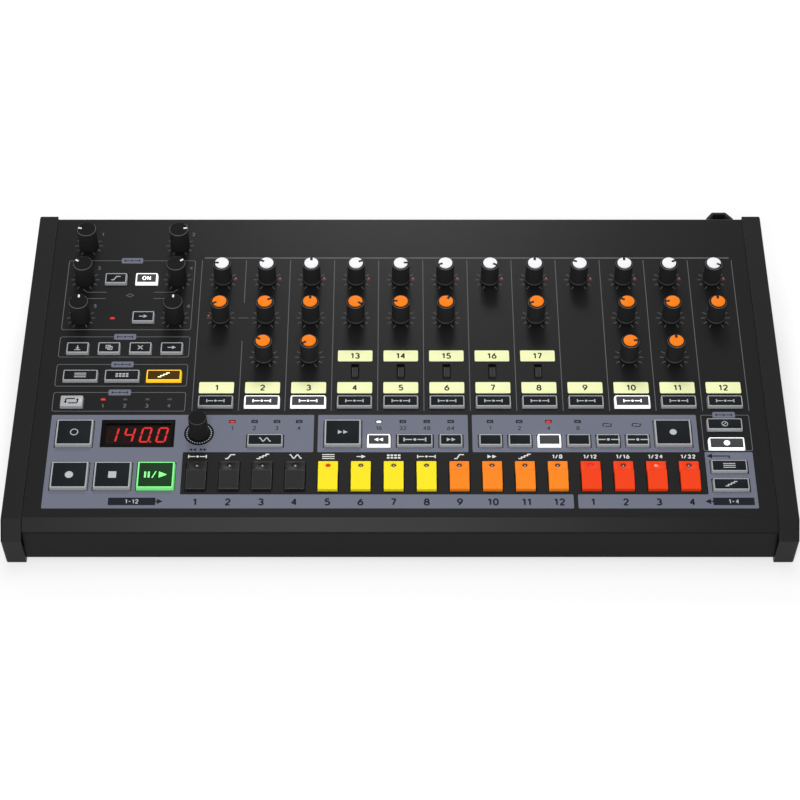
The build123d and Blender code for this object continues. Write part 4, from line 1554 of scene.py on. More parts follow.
@dataclass
class Indicators:
    """Lamps of the panel and of the step keys, lit or dark."""

    shop: Workshop
    lit: dict[int, Finish] = field(
        default_factory=lambda: {0: LAMP_RED, 1: LAMP_RED, 5: LAMP_RED, 9: LAMP_WHITE, 15: LAMP_RED},
    )
    lit_steps: dict[int, Finish] = field(
        default_factory=lambda: {4: LAMP_EMBER, 12: LAMP_RED, 14: LAMP_PINK},
    )
    lens: float = 0.7
    holder: float = 1.55
    rise: float = 0.5  # of a dome

    def build(self) -> None:
        """Make the lamps as one piece on the chassis."""
        solids = self.shop.solids("indicator_lights")
        bars = [solid for solid in solids if solid.size.x > BAR_LAMP]
        rounds = sorted((solid for solid in solids if solid.size.x <= BAR_LAMP), key=lambda solid: solid.x)
        first = rounds[0]
        piece = Piece(self.shop, "indicator_lenses")
        self.stamp_group(piece, bars, self.lit, LAMP_DARK, self.bar_mesh(bars[0]))
        dark = [solid for i, solid in enumerate(rounds) if i not in self.lit_steps]
        self.stamp_group(piece, dark, {}, LAMP_CLEAR, self.dome_mesh(first, self.lens))
        self.stamp_group(piece, dark, {}, MODULE_BLACK, self.holder_mesh(first))
        glowing = [rounds[i] for i in self.lit_steps]
        finishes = dict(enumerate(self.lit_steps.values()))
        self.stamp_group(piece, glowing, finishes, LAMP_RED, self.dome_mesh(first, self.holder))
        piece.done("indicator_lights")

    @staticmethod
    def stamp_group(
        piece: Piece, solids: Sequence[Solid], lit: dict[int, Finish], dark: Finish, mesh: Mesh
    ) -> None:
        """Stamp one kind of lamp, finish by finish.

        Args:
            piece: the piece to add to.
            solids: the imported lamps.
            lit: finishes of the lit ones by their number.
            dark: finish of the others.
            mesh: the lamp's shape.
        """
        groups: dict[Finish, list[Spot]] = {}
        for i, solid in enumerate(solids):
            groups.setdefault(lit.get(i, dark), []).append(solid.spot)
        for finish, spots in groups.items():
            piece.stamp([(mesh.copy(), finish)], spots)

    @staticmethod
    def bar_mesh(solid: Solid) -> Mesh:
        """Rectangular lens with softened edges.

        Args:
            solid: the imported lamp.

        Returns:
            The mesh.
        """
        wide, deep, top = solid.size.x - 0.2, solid.size.y - 0.2, solid.high.z
        profile = ((0.0, solid.low.z), (0.0, top - 0.25), (0.08, top - 0.08), (0.28, top))
        steps = [(wide - 2 * inset, deep - 2 * inset, 0.25, w) for inset, w in profile]
        return Shell().stepped(steps).data(48)

    def dome_mesh(self, solid: Solid, radius: float) -> Mesh:
        """Round lens with a domed end.

        Args:
            solid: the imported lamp.
            radius: the lens's radius.

        Returns:
            The mesh.
        """
        top = solid.high.z
        turns = [math.radians(a) for a in (0, 20, 40, 60, 80)]
        dome = [(radius * math.cos(a), top - self.rise * (1 - math.sin(a))) for a in turns]
        return Shell().turned([(radius, solid.low.z), *dome], 20).data()

    def holder_mesh(self, solid: Solid) -> Mesh:
        """Black sleeve around a lens that isn't lit.

        Args:
            solid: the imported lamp.

        Returns:
            The mesh.
        """
        top, inner, outer = solid.high.z - 0.4, self.lens, self.holder
        profile = [
            (inner - 0.05, top - 0.3), (inner - 0.05, top - 2.4), (outer, top - 2.4),
            (outer, top - 0.1), (outer - 0.1, top), (inner + 0.15, top),
        ]
        return Shell().turned(profile, 24, closed=True).data()


@dataclass
class Display:
    """Smoked window with four leaning seven-segment digits."""

    shop: Workshop
    text: str = "140.0"
    pitch: float = 10.55
    shift: float = -0.3
    digit_width: float = 5.5
    digit_height: float = 11.2
    stroke: float = 1.25
    gap: float = 0.12
    slant: float = 0.17
    frame: float = 2.3
    step: float = 1.2

    def build(self) -> None:
        """Make frame, pane and digits as one piece."""
        window = self.shop.solids("display_window")[0]
        place = self.shop.panel.at(window.x, window.v)
        wide, deep, low, top = window.size.x, window.size.y, window.low.z, window.high.z
        clear, high, floor = wide - 2 * self.frame, deep - 2 * self.frame, top - self.step
        frame = [
            (wide, deep, 0.4, low), (wide, deep, 0.4, top - 0.15), (wide - 0.3, deep - 0.3, 0.3, top),
            (clear + 0.3, high + 0.3, 0.4, top), (clear, high, 0.3, floor), (clear, high, 0.3, low),
        ]
        pane = [(clear + 0.2, high + 0.2, 0.3, w) for w in (low + 0.1, floor)]
        piece = Piece(self.shop, "display_glass")
        piece.add(Shell().stepped(frame, closed=True).data(48), WINDOW_FRAME, place)
        piece.add(Shell().stepped(pane).data(), WINDOW_PANE, place)
        piece.gather(self.digits(floor), place)
        piece.done("display_window")

    def digits(self, w: float) -> Parts:
        """Lay out the digits, each with its lit and dark segments.

        Args:
            w: height of the pane.

        Returns:
            Meshes and their finishes.
        """
        shapes = {"0": "abcdef", "1": "bc", "4": "bcfg"}
        cells: list[str] = []
        for sign in self.text:
            if sign == ".":
                cells[-1] += "p"
            else:
                cells.append(shapes[sign])
        parts = []
        for i, shape in enumerate(cells):
            x = (i - (len(cells) - 1) / 2) * self.pitch + self.shift
            for name, outline in self.segments().items():
                finish, rise = (SEGMENT_LIT, 0.04) if name in shape else (SEGMENT_DARK, 0.02)
                leaning = [(x + px + self.slant * pv, pv) for px, pv in outline]
                parts.append((Shell().prism(leaning, w - 0.05, w + rise).data(), finish))
        return parts

    def level(self, v: float) -> Outline:
        """A level segment at a height."""
        t, end = self.stroke / 2, self.digit_width / 2 - self.gap
        return [(-end, v), (t - end, v - t), (end - t, v - t), (end, v), (end - t, v + t), (t - end, v + t)]

    def upright(self, x: float, low: float) -> Outline:
        """An upright segment, half as high as the digit.

        Args:
            x: its place along x.
            low: height of its lower end.

        Returns:
            Its outline.
        """
        t, start, end = self.stroke / 2, low + self.gap, low + self.digit_height / 2 - self.gap
        return [
            (x, start), (x + t, start + t), (x + t, end - t), (x, end), (x - t, end - t), (x - t, start + t),
        ]

    def segments(self) -> dict[str, Outline]:
        """The seven segments and the point.

        Returns:
            Their outlines about the digit's middle, by their letters.
        """
        wide, high = self.digit_width / 2, self.digit_height / 2
        return {
            "a": self.level(high), "g": self.level(0.0), "d": self.level(-high),
            "b": self.upright(wide, 0), "c": self.upright(wide, -high),
            "f": self.upright(-wide, 0), "e": self.upright(-wide, -high),
            "p": shifted(round_ring(0.65, 0, 16), wide + 1.5, -high),
        }


# ---- printing on the panel ------------------------------------------------------------------
@dataclass
class PanelPrint:
    """Everything that is printed on the control panel."""

    shop: Workshop
    line: float = 0.45
    block_sides: Point = (-225.0, -139.2)
    block_rows: tuple[Point, ...] = ((152.7, 214.3), (129.1, 146.5), (104.5, 122.8), (83.7, 99.2))
    track_frame: tuple[float, float, float, float] = (193.9, 51.6, 224.8, 80.4)
    track_tag: Point = (208.8, 80.6)
    tag_x: float = -182.2
    tag_size: Point = (14.6, 4.9)
    divider: Point = (84.0, 214.8)
    divider_break: Point = (143.0, 176.5)
    link_v: float = 163.0
    headline: float = 216.8
    diamond_v: float = 183.0
    label_size: Point = (22.7, 9.3)
    label_rows: Point = (103.2, 130.1)
    outer: float = 224.5
    fascia_low: float = 6.2
    strip_high: float = 17.0
    well_high: float = 50.4
    fascia_high: float = 80.6
    well_sides: Point = (-138.3, 193.9)
    strip_gap: Point = (108.9, 111.7)
    first_gap: Point = (-55.3, -52.7)
    second_gap: Point = (43.6, 46.3)
    last_block: float = 190.7
    gap: float = 0.5
    ticks: int = 11
    tick_radius: float = 8.2
    tick_width: float = 0.38
    tick_lengths: tuple[float, float, float] = (2.6, 2.8, 2.4)  # level, orange and black knobs
    first_tick: float = -150.0
    tick_step: float = 30.0
    red_dot: Point = (8.3, 1.4)  # from the middle of a level knob
    last_dot_rise: float = 2.0
    encoder_ring: Point = (3.9, 9.55)
    encoder_dots: int = 31
    encoder_reach: float = 7.9
    encoder_arrows: Point = (3.4, 13.2)  # beside and below the encoder
    effect_number: Point = (8.6, 10.6)  # from the middle of an effect knob
    step_figure: float = 5.6
    label_figure: float = 5.0
    lamp_drop: float = 5.4  # from a lamp to its number
    legend_v: float = 46.9
    lamp_counts: tuple[str, ...] = ("1", "2", "3", "4", "16", "32", "48", "64", "1", "2", "4", "8")
    note_lengths: tuple[str, ...] = ("1/8", "1/12", "1/16", "1/24", "1/32")
    step_signs: tuple[Mark, ...] = (
        Mark.LINE, Mark.SLOPE, Mark.STAIRS, Mark.WAVE, Mark.BARS, Mark.RIGHT, Mark.GRID, Mark.LINE,
        Mark.SLOPE, Mark.AHEAD, Mark.STAIRS,
    )

    def build(self) -> None:
        """Print every part of the panel, one piece for each kind of ink."""
        self.fascia()
        self.lines()
        self.frames()
        self.scales()
        self.labels()
        self.numbers()

    def fascia(self) -> None:
        """The slate blocks, open around every key, lamp and window."""
        low, strip, well, high = self.fascia_low, self.strip_high, self.well_high, self.fascia_high
        outer, last = self.outer, self.last_block
        (left, right), (strip_end, strip_start) = self.well_sides, self.strip_gap
        (a, b), (c, d) = self.first_gap, self.second_gap
        blocks = [
            [(-outer, low), (strip_end, low), (strip_end, strip), (left, strip), (left, well), (a, well),
             (a, high), (-outer, high)],
            [(b, well), (c, well), (c, high), (b, high)],
            [(d, well), (last, well), (last, high), (d, high)],
            [(strip_start, low), (outer, low), (outer, well), (right, well), (right, strip),
             (strip_start, strip)],
        ]
        outlines = [rounded(block, 0.9) for block in blocks]
        piece = Piece(self.shop, "fascia_print")
        piece.add(plate(outlines + self.openings(), *INK), INK_SLATE)
        piece.done()

    def openings(self) -> list[Outline]:
        """The panel's openings inside the fascia.

        Returns:
            Their outlines.
        """
        keys = ("function_keys", "pad_keys", "record_key", "stop_key", "play_key")
        rims = {**dict.fromkeys(keys, -KEY_FORMS[0].flange), "indicator_lights": 0.0, "display_window": 0.0}
        found = []
        for node, rim in rims.items():
            grow = rim + self.gap
            for solid in self.shop.solids(node):
                if self.in_fascia(solid):
                    low, high = solid.low, solid.high
                    found.append(box_outline(low.x - grow, low.y - grow, high.x + grow, high.y + grow, 0.3))
        x, v, _ = self.shop.knobs()["data_encoder_knob"]
        return [*found, shifted(round_ring(self.encoder_ring[1] + 0.05, 0, 64), x, v)]

    def in_fascia(self, solid: Solid) -> bool:
        """Whether a solid comes up through one of the slate blocks.

        Args:
            solid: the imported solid.

        Returns:
            True if it does.
        """
        left, right = self.well_sides
        if not self.fascia_low < solid.v < self.fascia_high:
            return False
        if solid.v > self.well_high:
            return solid.x < right
        return solid.x < left or solid.x > right

    def ink(self, piece: Piece, line: Sequence[Point], width: float = 0.0, closed: bool = False) -> None:
        """Print one line, of the usual width if none is given."""
        piece.add(Shell().ribbon(line, width or self.line, *INK, closed).data(), INK_LINE)

    def lines(self) -> None:
        """Channel dividers, the headline, the first channels' link, and the effect block's lines."""
        piece = Piece(self.shop, "divider_lines")
        (low, high), (end, start) = self.divider, self.divider_break
        for i in range(CHANNELS + 1):
            x = FIRST_DIVIDER + CHANNEL_PITCH * i
            for span in ((low, end), (start, high)) if i == 1 else ((low, high),):
                self.ink(piece, [(x, v) for v in span])
        middle = FIRST_DIVIDER + CHANNEL_PITCH
        self.ink(piece, [(middle - 3.4, self.link_v), (middle + 3.4, self.link_v)])
        last = FIRST_DIVIDER + CHANNELS * CHANNEL_PITCH
        self.ink(piece, [(FIRST_DIVIDER + 1.5, self.headline), (last - 1.5, self.headline)], 1.0)
        x, v = self.tag_x + 0.6, self.diamond_v
        near, far, tip = 16, 29, 32
        for side in (-1, 1):
            upper = [(near, v + 2.8), (far, v + 2.8), (tip, v + 5.4)]
            self.ink(piece, [(x + side * reach, height) for reach, height in upper])
        for side in (-1, 1):
            self.ink(piece, [(x + side * near, v - 2.8), (x + side * far, v - 2.8)])
        self.ink(piece, [(x - 2.4, v), (x, v + 1.4), (x + 2.4, v), (x, v - 1.4), (x - 2.4, v)])
        piece.done()

    def frames(self) -> None:
        """Rounded frames of the left-hand block and the track keys, with their tags."""
        piece = Piece(self.shop, "block_frames")
        left, right = self.block_sides
        for low, high in self.block_rows:
            self.ink(piece, box_outline(left, low, right, high, 1.4), closed=True)
        self.ink(piece, box_outline(*self.track_frame, 1.0), closed=True)
        piece.done()
        tags = Piece(self.shop, "block_tags")
        wide, deep = self.tag_size[0] / 2, self.tag_size[1] / 2
        for x, v in [*((self.tag_x, high) for _, high in self.block_rows), self.track_tag]:
            outline = box_outline(x - wide, v - deep, x + wide, v + deep, 1.0)
            tags.add(Shell().prism(outline, INK[0], INK[1] + 0.02).data(), INK_SLATE)
            self.sign(tags, Mark.LINE, x, v, INK_DARK, 1.15)
        tags.done()

    def sign(self, piece: Piece, mark: Mark, x: float, v: float, ink: Finish, scale: float) -> None:
        """Print one plain sign with its middle at x and v."""
        for mesh in mark.meshes(0.0, INK[1] + 0.04, scale):
            piece.add(mesh, ink, self.shop.panel.at(x, v))

    @staticmethod
    def row(
        piece: Piece, texts: Iterable[str], spots: Iterable[Point], size: float, ink: Finish,
        weight: float, heights: Point = INK,
    ) -> None:
        """Print figures in a row.

        Args:
            piece: the piece to add to.
            texts: the figures.
            spots: their middles.
            size: their height.
            ink: their finish.
            weight: width of a stroke as a share of the height.
            heights: of the print's underside and face.
        """
        for text, (x, v) in zip(texts, spots):
            piece.add(figures(text, size, x, v, *heights, weight), ink)

    def scales(self) -> None:
        """Tick rings of the knobs, the red dots of the level knobs and the encoder's ring."""
        level, others, black = [], [], []
        for body, (x, v, _) in self.shop.knobs().items():
            group = level if "level" in body else black if "effect" in body else others
            if body != "data_encoder_knob":
                group.append((x, v, 0.0))
        sizes = {
            "Count": self.ticks, "Radius": self.tick_radius, "Width": self.tick_width, "Height": RAISED[1],
            "First": math.radians(self.first_tick), "Step": math.radians(self.tick_step),
            "Finish": INK_TICK.material(),
        }
        rings = Piece(self.shop, "knob_scales")
        for spots, length in zip((level, others, black), self.tick_lengths):
            rings.add(self.shop.ticks.run(spots, Length=length, **sizes), INK_TICK)
        rings.done()
        self.dotted_ring()
        dot = [(0.7, INK[0]), (0.7, INK[1] + 0.03), (0.6, INK[1] + 0.05)]
        aside, above = self.red_dot
        spots = [(x + aside, v + above, 0.0) for x, v, _ in level]
        spots.append((level[0][0] - aside, others[0][1] + self.last_dot_rise, 0.0))
        dots = Piece(self.shop, "level_dots")
        dots.stamp([(Shell().turned(dot, 20).data(), INK_RED)], spots)
        dots.done()

    def dotted_ring(self) -> None:
        """Black printed ring with white dots around the encoder."""
        x, v, _ = self.shop.knobs()["data_encoder_knob"]
        place = self.shop.panel.at(x, v)
        inner, outer = self.encoder_ring
        profile = [(inner, INK[0]), (outer, INK[0]), (outer, INK[1]), (inner, INK[1])]
        dot = Shell().turned([(0.42, 0.0), (0.42, INK[1] + 0.03)], 10).data()
        turns = [math.tau * i / self.encoder_dots for i in range(self.encoder_dots)]
        ring = Piece(self.shop, "encoder_ring")
        ring.add(Shell().turned(profile, 64, closed=True).data(), INK_BLACK, place)
        reach = self.encoder_reach
        spots = [(reach * math.sin(a), reach * math.cos(a), 0.0) for a in turns]
        ring.stamp([(dot, INK_LIGHT)], spots, place)
        ring.done()

    def labels(self) -> None:
        """Pale yellow labels under the channels and above the voice switches, with their numbers."""
        wide, deep = self.label_size
        steps = [(wide - 2 * i, deep - 2 * i, 0.8, w) for i, w in ((0, INK[0]), (0, 0.05), (0.06, 0.08))]
        columns = [FIRST_DIVIDER + CHANNEL_PITCH * (i + 0.5) for i in range(CHANNELS)]
        lower, upper = self.label_rows
        middles = [*((x, lower) for x in columns), *((x, upper) for x in columns[3:8])]
        piece = Piece(self.shop, "channel_labels")
        piece.stamp([(Shell().stepped(steps).data(), LABEL_YELLOW)], [(x, v, 0.0) for x, v in middles])
        numbers = [str(i + 1) for i in range(len(middles))]
        self.row(piece, numbers, middles, self.label_figure, INK_BLACK, 0.18, (0.06, 0.1))
        piece.done()

    def numbers(self) -> None:
        """Numbers and signs of steps, lamps, note lengths and effects, and the arrow tags."""
        dark, light = Piece(self.shop, "dark_numbers"), Piece(self.shop, "light_numbers")
        packed = [solid for colour in STEP_FINISHES for solid in self.shop.solids(f"step_keys_{colour}")]
        keys = sorted(packed, key=lambda solid: solid.x)
        middle = (self.fascia_low + self.strip_high) / 2
        steps = [str(i % 12 + 1) for i in range(len(keys))]
        self.row(dark, steps, [(key.x, middle - 0.4) for key in keys], self.step_figure, INK_DARK, 0.19, RAISED)
        lamps = self.shop.lamps(70, 80)
        below = [(lamp.x, lamp.v - self.lamp_drop) for lamp in lamps[-len(self.lamp_counts):]]
        self.row(dark, self.lamp_counts, below, 3.3, INK_DARK, 0.13, RAISED)
        self.arrow_tags(dark, light, middle)
        x, v, _ = self.shop.knobs()["data_encoder_knob"]
        aside, below = self.encoder_arrows
        for mark, side in ((Mark.BACK, -1), (Mark.AHEAD, 1)):
            self.sign(dark, mark, x + side * aside, v - below, INK_DARK, 1.3)
        for key in self.shop.solids("function_keys")[20:22]:
            self.sign(dark, Mark.LOOP, key.x, lamps[-1].v - 2.8, INK_DARK, 0.8)
        dark.done()
        aside, above = self.effect_number
        knobs = self.shop.knobs().items()
        effects = [(x + aside, v + above) for body, (x, v, _) in knobs if "effect" in body]
        self.row(light, "123456", effects, 3.0, INK_TICK, 0.18)
        legends = [(key.x, self.legend_v) for key in keys]
        self.row(light, self.note_lengths, legends[11:], 3.3, INK_WHITE, 0.2)
        sync = [(lamp.x, lamp.v - self.lamp_drop) for lamp in self.shop.lamps(83, 100)]
        self.row(light, self.lamp_counts, sync, 3.2, INK_TICK, 0.2)
        for mark, (x, v) in zip(self.step_signs, legends):
            self.sign(light, mark, x, v, INK_WHITE, 1.3 if mark is Mark.LINE else 1.65)
        light.done()

    def arrow_tags(self, dark: Piece, light: Piece, middle: float) -> None:
        """Print the two step ranges with their arrows, and the hooked arrow.

        Args:
            dark: the piece with dark print.
            light: the piece with light print.
            middle: height of the ranges up the panel.
        """
        low, high = RAISED
        for start, end, tip, text in ((-183.0, -153.3, -148.8, "1-12"), (222.2, 196.3, 191.3, "1-4")):
            side = 1 if tip > end else -1
            tag = box_outline(min(start, end), middle - 2.9, max(start, end), middle + 2.9, 0.4)
            head = [(tip - side * 3.6, middle + 2.1), (tip - side * 3.6, middle - 2.1), (tip, middle)]
            shaft = [(end, middle), (tip - side * 3.3, middle)]
            dark.add(Shell().prism(tag, low, high).data(), INK_DARK)
            dark.add(Shell().prism(head, low, high - 0.01).data(), INK_DARK)
            dark.add(Shell().ribbon(shaft, 0.8, low, high - 0.005).data(), INK_DARK)
            spot = ((start + end) / 2, middle)
            self.row(light, [text], [spot], 3.4, INK_LIGHT, 0.18, (high - 0.01, high + 0.02))
        bend = [(209.4, 45.4), (209.4, 47.3), (198.2, 47.3)]
        head = [(198.5, 45.4), (198.5, 49.2), (194.9, 47.3)]
        dark.add(Shell().ribbon(bend, 0.8, low, high).data(), INK_DARK)
        dark.add(Shell().prism(head, low, high + 0.01).data(), INK_DARK)


# ---- case, feet and screws ------------------------------------------------------------------
KEPT_NODES = {
    "top_panel": PANEL_PAINT, "base_pan": PAN_PAINT, "left_cheek": CHEEK_PLASTIC,
    "right_cheek": CHEEK_PLASTIC, "cable_hook": HOOK_PAINT, "circuit_boards": BOARD_LAMINATE,
    "board_standoffs": STANDOFF_BRASS, "potentiometers": POTENTIOMETER_CASE,
    "switch_bodies": SWITCH_CASE, "display_module": MODULE_BLACK, "power_rocker": CONNECTOR_BLACK,
}


@dataclass
class Case:
    """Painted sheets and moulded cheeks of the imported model, with new feet and screws."""

    shop: Workshop
    ground: Place = field(default_factory=lambda: Place(Matrix.Scale(MM, 4)))
    screw_length: float = 7.8
    head_height: float = 1.8
    slot_turn: float = 20.0

    def build(self) -> None:
        """Dress the kept nodes and make what replaces the plain ones."""
        for node, finish in KEPT_NODES.items():
            for slot in self.shop.frame["nodes"][node].material_slots:
                slot.material = finish.material()
            LOG.info("%s: %s", node, finish.label)
        self.feet()
        self.screws()

    def feet(self) -> None:
        """Rubber feet with a rounded tread and a moulded recess."""
        solids = solids_of(self.shop.frame, "rubber_feet", self.ground)
        radius, top = solids[0].size.x / 2, solids[0].high.z
        profile = [
            (radius * 0.45, 0.9), (radius * 0.5, 0.5), (radius * 0.55, 0.05), (radius * 0.62, 0.0),
            (radius - 0.9, 0.0), (radius - 0.25, 0.3), (radius, 0.9), (radius, top - 0.5),
            (radius - 0.2, top),
        ]
        piece = Piece(self.shop, "rubber_feet_finish")
        foot = Shell().turned(profile).data()
        piece.stamp([(foot, FOOT_RUBBER)], [solid.spot for solid in solids], self.ground)
        piece.done("rubber_feet")

    def screws(self) -> None:
        """Pan-head screws, on each side of the case that has them."""
        piece = Piece(self.shop, "case_screws_finish")
        for solid in solids_of(self.shop.frame, "case_screws", self.ground):
            lengths = [abs(size - self.screw_length) for size in solid.size]
            axis = lengths.index(min(lengths))
            middle = (solid.low + solid.high) / 2
            outward = self.outward(axis, middle.x)
            end = solid.high if outward > 0 else solid.low
            middle[axis] = end[axis] - outward * self.head_height
            out, right = Vector((0, 0, 0)), Vector((0, 0, 0))
            out[axis], right[(axis + 1) % 3] = outward, 1
            piece.gather(self.screw(), Place.on(middle * MM, right, out.cross(right)))
        piece.done("case_screws")

    @staticmethod
    def outward(axis: int, x: float) -> int:
        """Which way a screw's head points along its axis.

        Args:
            axis: number of the axis.
            x: middle of the screw along x.

        Returns:
            One or minus one.
        """
        if axis == 0:
            return -1 if x > 0 else 1
        return 1 if axis == 1 else -1

    def screw(self) -> Parts:
        """Head with its domed edge, the shank, and the bars of the cross recess.

        Returns:
            Meshes and their finishes.
        """
        head = [(2.7, 0.0), (2.8, 0.2), (2.75, 0.9), (2.4, 1.5), (1.9, 1.74), (1.7, 1.78)]
        shank = [(1.1, -6.0), (1.45, -5.4), (1.45, 0.1)]
        meshes = [Shell().turned(head, 28).data(), Shell().turned(shank, 16).data()]
        for turn in (0, 90):
            bar = Shell().prism([(-1.6, -0.3), (1.6, -0.3), (1.6, 0.3), (-1.6, 0.3)], 1.5, 1.8).data()
            bar.transform(Matrix.Rotation(math.radians(turn + self.slot_turn), 4, "Z"))
            meshes.append(bar)
        return [(mesh, SCREW_STEEL) for mesh in meshes]


# ---- rear connectors ------------------------------------------------------------------------
CONNECTOR_WIDTHS = {
    "jack": 13.3, "mini_jack": 9.1, "five_pole": 19.0, "data_port": 12.0, "rocker": 26.0, "inlet": 11.0,
}


@dataclass
class RearPanel:
    """Sockets, nuts, bezel and inlet along the rear wall."""

    shop: Workshop
    wall: float = 1.2
    thread: float = 0.5  # pitch
    number_size: float = 3.2

    def build(self) -> None:
        """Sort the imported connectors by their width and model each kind."""
        solids = solids_of(self.shop.frame, "rear_connectors", self.shop.rear)
        piece = Piece(self.shop, "rear_connectors_finish")
        kinds: dict[str, list[Solid]] = {}
        for solid in sorted(solids, key=lambda solid: solid.x):
            kind = min(CONNECTOR_WIDTHS, key=lambda name: abs(CONNECTOR_WIDTHS[name] - solid.size.x))
            kinds.setdefault(kind, []).append(solid)
        for kind, members in kinds.items():
            LOG.info("rear %s: %d", kind, len(members))
            parts = getattr(self, kind)(members[0])
            piece.stamp(parts, [solid.spot for solid in members], self.shop.rear)
        piece.done("rear_connectors")
        self.numbers(kinds)

    def numbers(self, kinds: dict[str, list[Solid]]) -> None:
        """Printed numbers above the sockets, counted from the left of each kind.

        Args:
            kinds: the connectors of each kind.
        """
        spots = []
        for kind, rise in (("jack", 10.0), ("mini_jack", 8.0), ("five_pole", 12.5)):
            members = enumerate(kinds.get(kind, ()))
            spots += [(str(i + 1), solid.x, solid.v + rise) for i, solid in members]
        for solid in kinds.get("rocker", ()):
            signs = (("O", -1), ("1", 1))
            spots += [(sign, solid.x + side * 7.0, solid.high.y + 4.0) for sign, side in signs]
        piece = Piece(self.shop, "rear_numbers")
        for text, x, v in spots:
            piece.add(figures(text, self.number_size, x, v, -0.02, 0.04, 0.16), INK_LIGHT, self.shop.rear)
        piece.done()

    def body(self, width: float, depth: float) -> Parts:
        """Moulded body behind the wall."""
        steps = [(width, width, 0.6, w) for w in (-self.wall - depth, -self.wall)]
        return [(Shell().stepped(steps).soften(0.3, 2).data(), CONNECTOR_BLACK)]

    def nutted(self, top: float, sizes: Sequence[float], body: float, deep: float) -> Parts:
        """Socket with a threaded neck, a chamfered nut and a lined bore.

        Args:
            top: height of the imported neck.
            sizes: radius of the bore and of the thread, the nut's radius across flats and thickness.
            body: width of the body.
            deep: depth of the body.

        Returns:
            Meshes and their finishes.
        """
        bore, neck, nut, thick = sizes
        hexagon = [self.nut_ring(nut, w) for w in (0.15, thick - 0.35)]
        hexagon.append(round_ring(nut, thick, 36))
        hexagon += [round_ring(neck - 0.1, w, 36) for w in (thick, 0.15)]
        profile = [(neck - 1.2, -self.wall), (neck, -self.wall)]
        ridges = int((thick + 0.35) / self.thread)
        for i in range(ridges):
            w = thick - 0.1 - (ridges - i - 1) * self.thread
            profile += [(neck - 0.18, w), (neck, w + 0.22)]
        top, floor = min(thick + 0.35, top + 0.3), -deep * 0.6
        profile += [(neck - 0.3, top), (bore + 0.25, top), (bore, top - 0.25)]
        profile += [(bore, floor), (neck - 1.2, floor)]
        lining = [(bore - 0.02, floor), (bore - 0.02, floor + 0.4)]
        return [
            *self.body(body, deep),
            (Shell().loft(hexagon, closed=True).data(28), CONNECTOR_METAL),
            (Shell().turned(profile, 32, closed=True).data(), CONNECTOR_METAL),
            (Shell().turned(lining, 32).data(), CONNECTOR_BLACK),
        ]

    @staticmethod
    def nut_ring(flat_radius: float, w: float, count: int = 36) -> Ring:
        """Outline of a hexagonal nut at a height.

        Args:
            flat_radius: half the distance across its flats.
            w: the height.
            count: how many points it has.

        Returns:
            The points.
        """
        ring = []
        for i in range(count):
            turn = math.tau * i / count
            radius = flat_radius / math.cos(turn % (math.pi / 3) - math.pi / 6)
            ring.append(Vector((radius * math.cos(turn), radius * math.sin(turn), w)))
        return ring

    def jack(self, solid: Solid) -> Parts:
        """Socket for 6.35 mm plugs."""
        return self.nutted(solid.high.z, (3.25, 4.5, 6.0, 2.0), 13.0, 22.0)

    def mini_jack(self, solid: Solid) -> Parts:
        """Socket for 3.5 mm plugs."""
        return self.nutted(solid.high.z, (1.8, 3.0, 4.0, 1.5), 9.0, 14.0)

    def sleeve(self, radius: float, inner: float, depth: float) -> list[Point]:
        """Profile of a round collar with a chamfered mouth."""
        mouth = [(radius, 0.8), (radius - 0.2, 1.0), (inner + 0.2, 1.0), (inner, 0.8)]
        return [(radius, -self.wall), *mouth, (inner, -depth), (radius, -depth)]

    def five_pole(self, solid: Solid) -> Parts:
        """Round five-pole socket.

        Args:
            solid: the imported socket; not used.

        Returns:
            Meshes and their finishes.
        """
        core = Shell().turned([(5.3, -6.0), (5.3, 0.7), (5.1, 0.9)]).data()
        floor = Shell().turned([(6.75, -6.2), (6.75, -5.8)]).data()
        parts = [
            *self.body(CONNECTOR_WIDTHS["five_pole"], 11.0),
            (Shell().turned(self.sleeve(7.7, 6.7, 6.0), 48, closed=True).data(), CONNECTOR_METAL),
            (core, CONNECTOR_BLACK), (floor, CONNECTOR_BLACK),
        ]
        for i in range(5):
            angle = math.radians(45 * i)
            pole = Shell().turned([(0.75, 0.6), (0.75, 0.95), (0.45, 0.95)], 12).data()
            pole.transform(Matrix.Translation((3.75 * math.cos(angle), 3.75 * math.sin(angle), 0)))
            parts.append((pole, CONNECTOR_METAL))
        return parts

    def data_port(self, solid: Solid) -> Parts:
        """Square data socket with its tongue.

        Args:
            solid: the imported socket.

        Returns:
            Meshes and their finishes.
        """
        wide, high, top = solid.size.x, solid.size.y, solid.high.z
        shell = [
            (wide, high, 0.6, -self.wall - 15.0), (wide, high, 0.6, top - 0.2),
            (wide - 0.3, high - 0.3, 0.5, top), (wide - 2.2, high - 2.2, 0.6, top),
            (wide - 2.4, high - 2.4, 0.6, top - 0.2), (wide - 2.4, high - 2.4, 0.6, top - 9.0),
        ]
        tongue = [(5.7, 3.2, 0.4, top - 9.1), (5.7, 3.2, 0.4, -0.3), (5.3, 2.8, 0.3, -0.1)]
        return [
            (Shell().stepped(shell).data(48), CONNECTOR_METAL),
            (Shell().stepped(tongue).data(), CONNECTOR_BLACK),
        ]

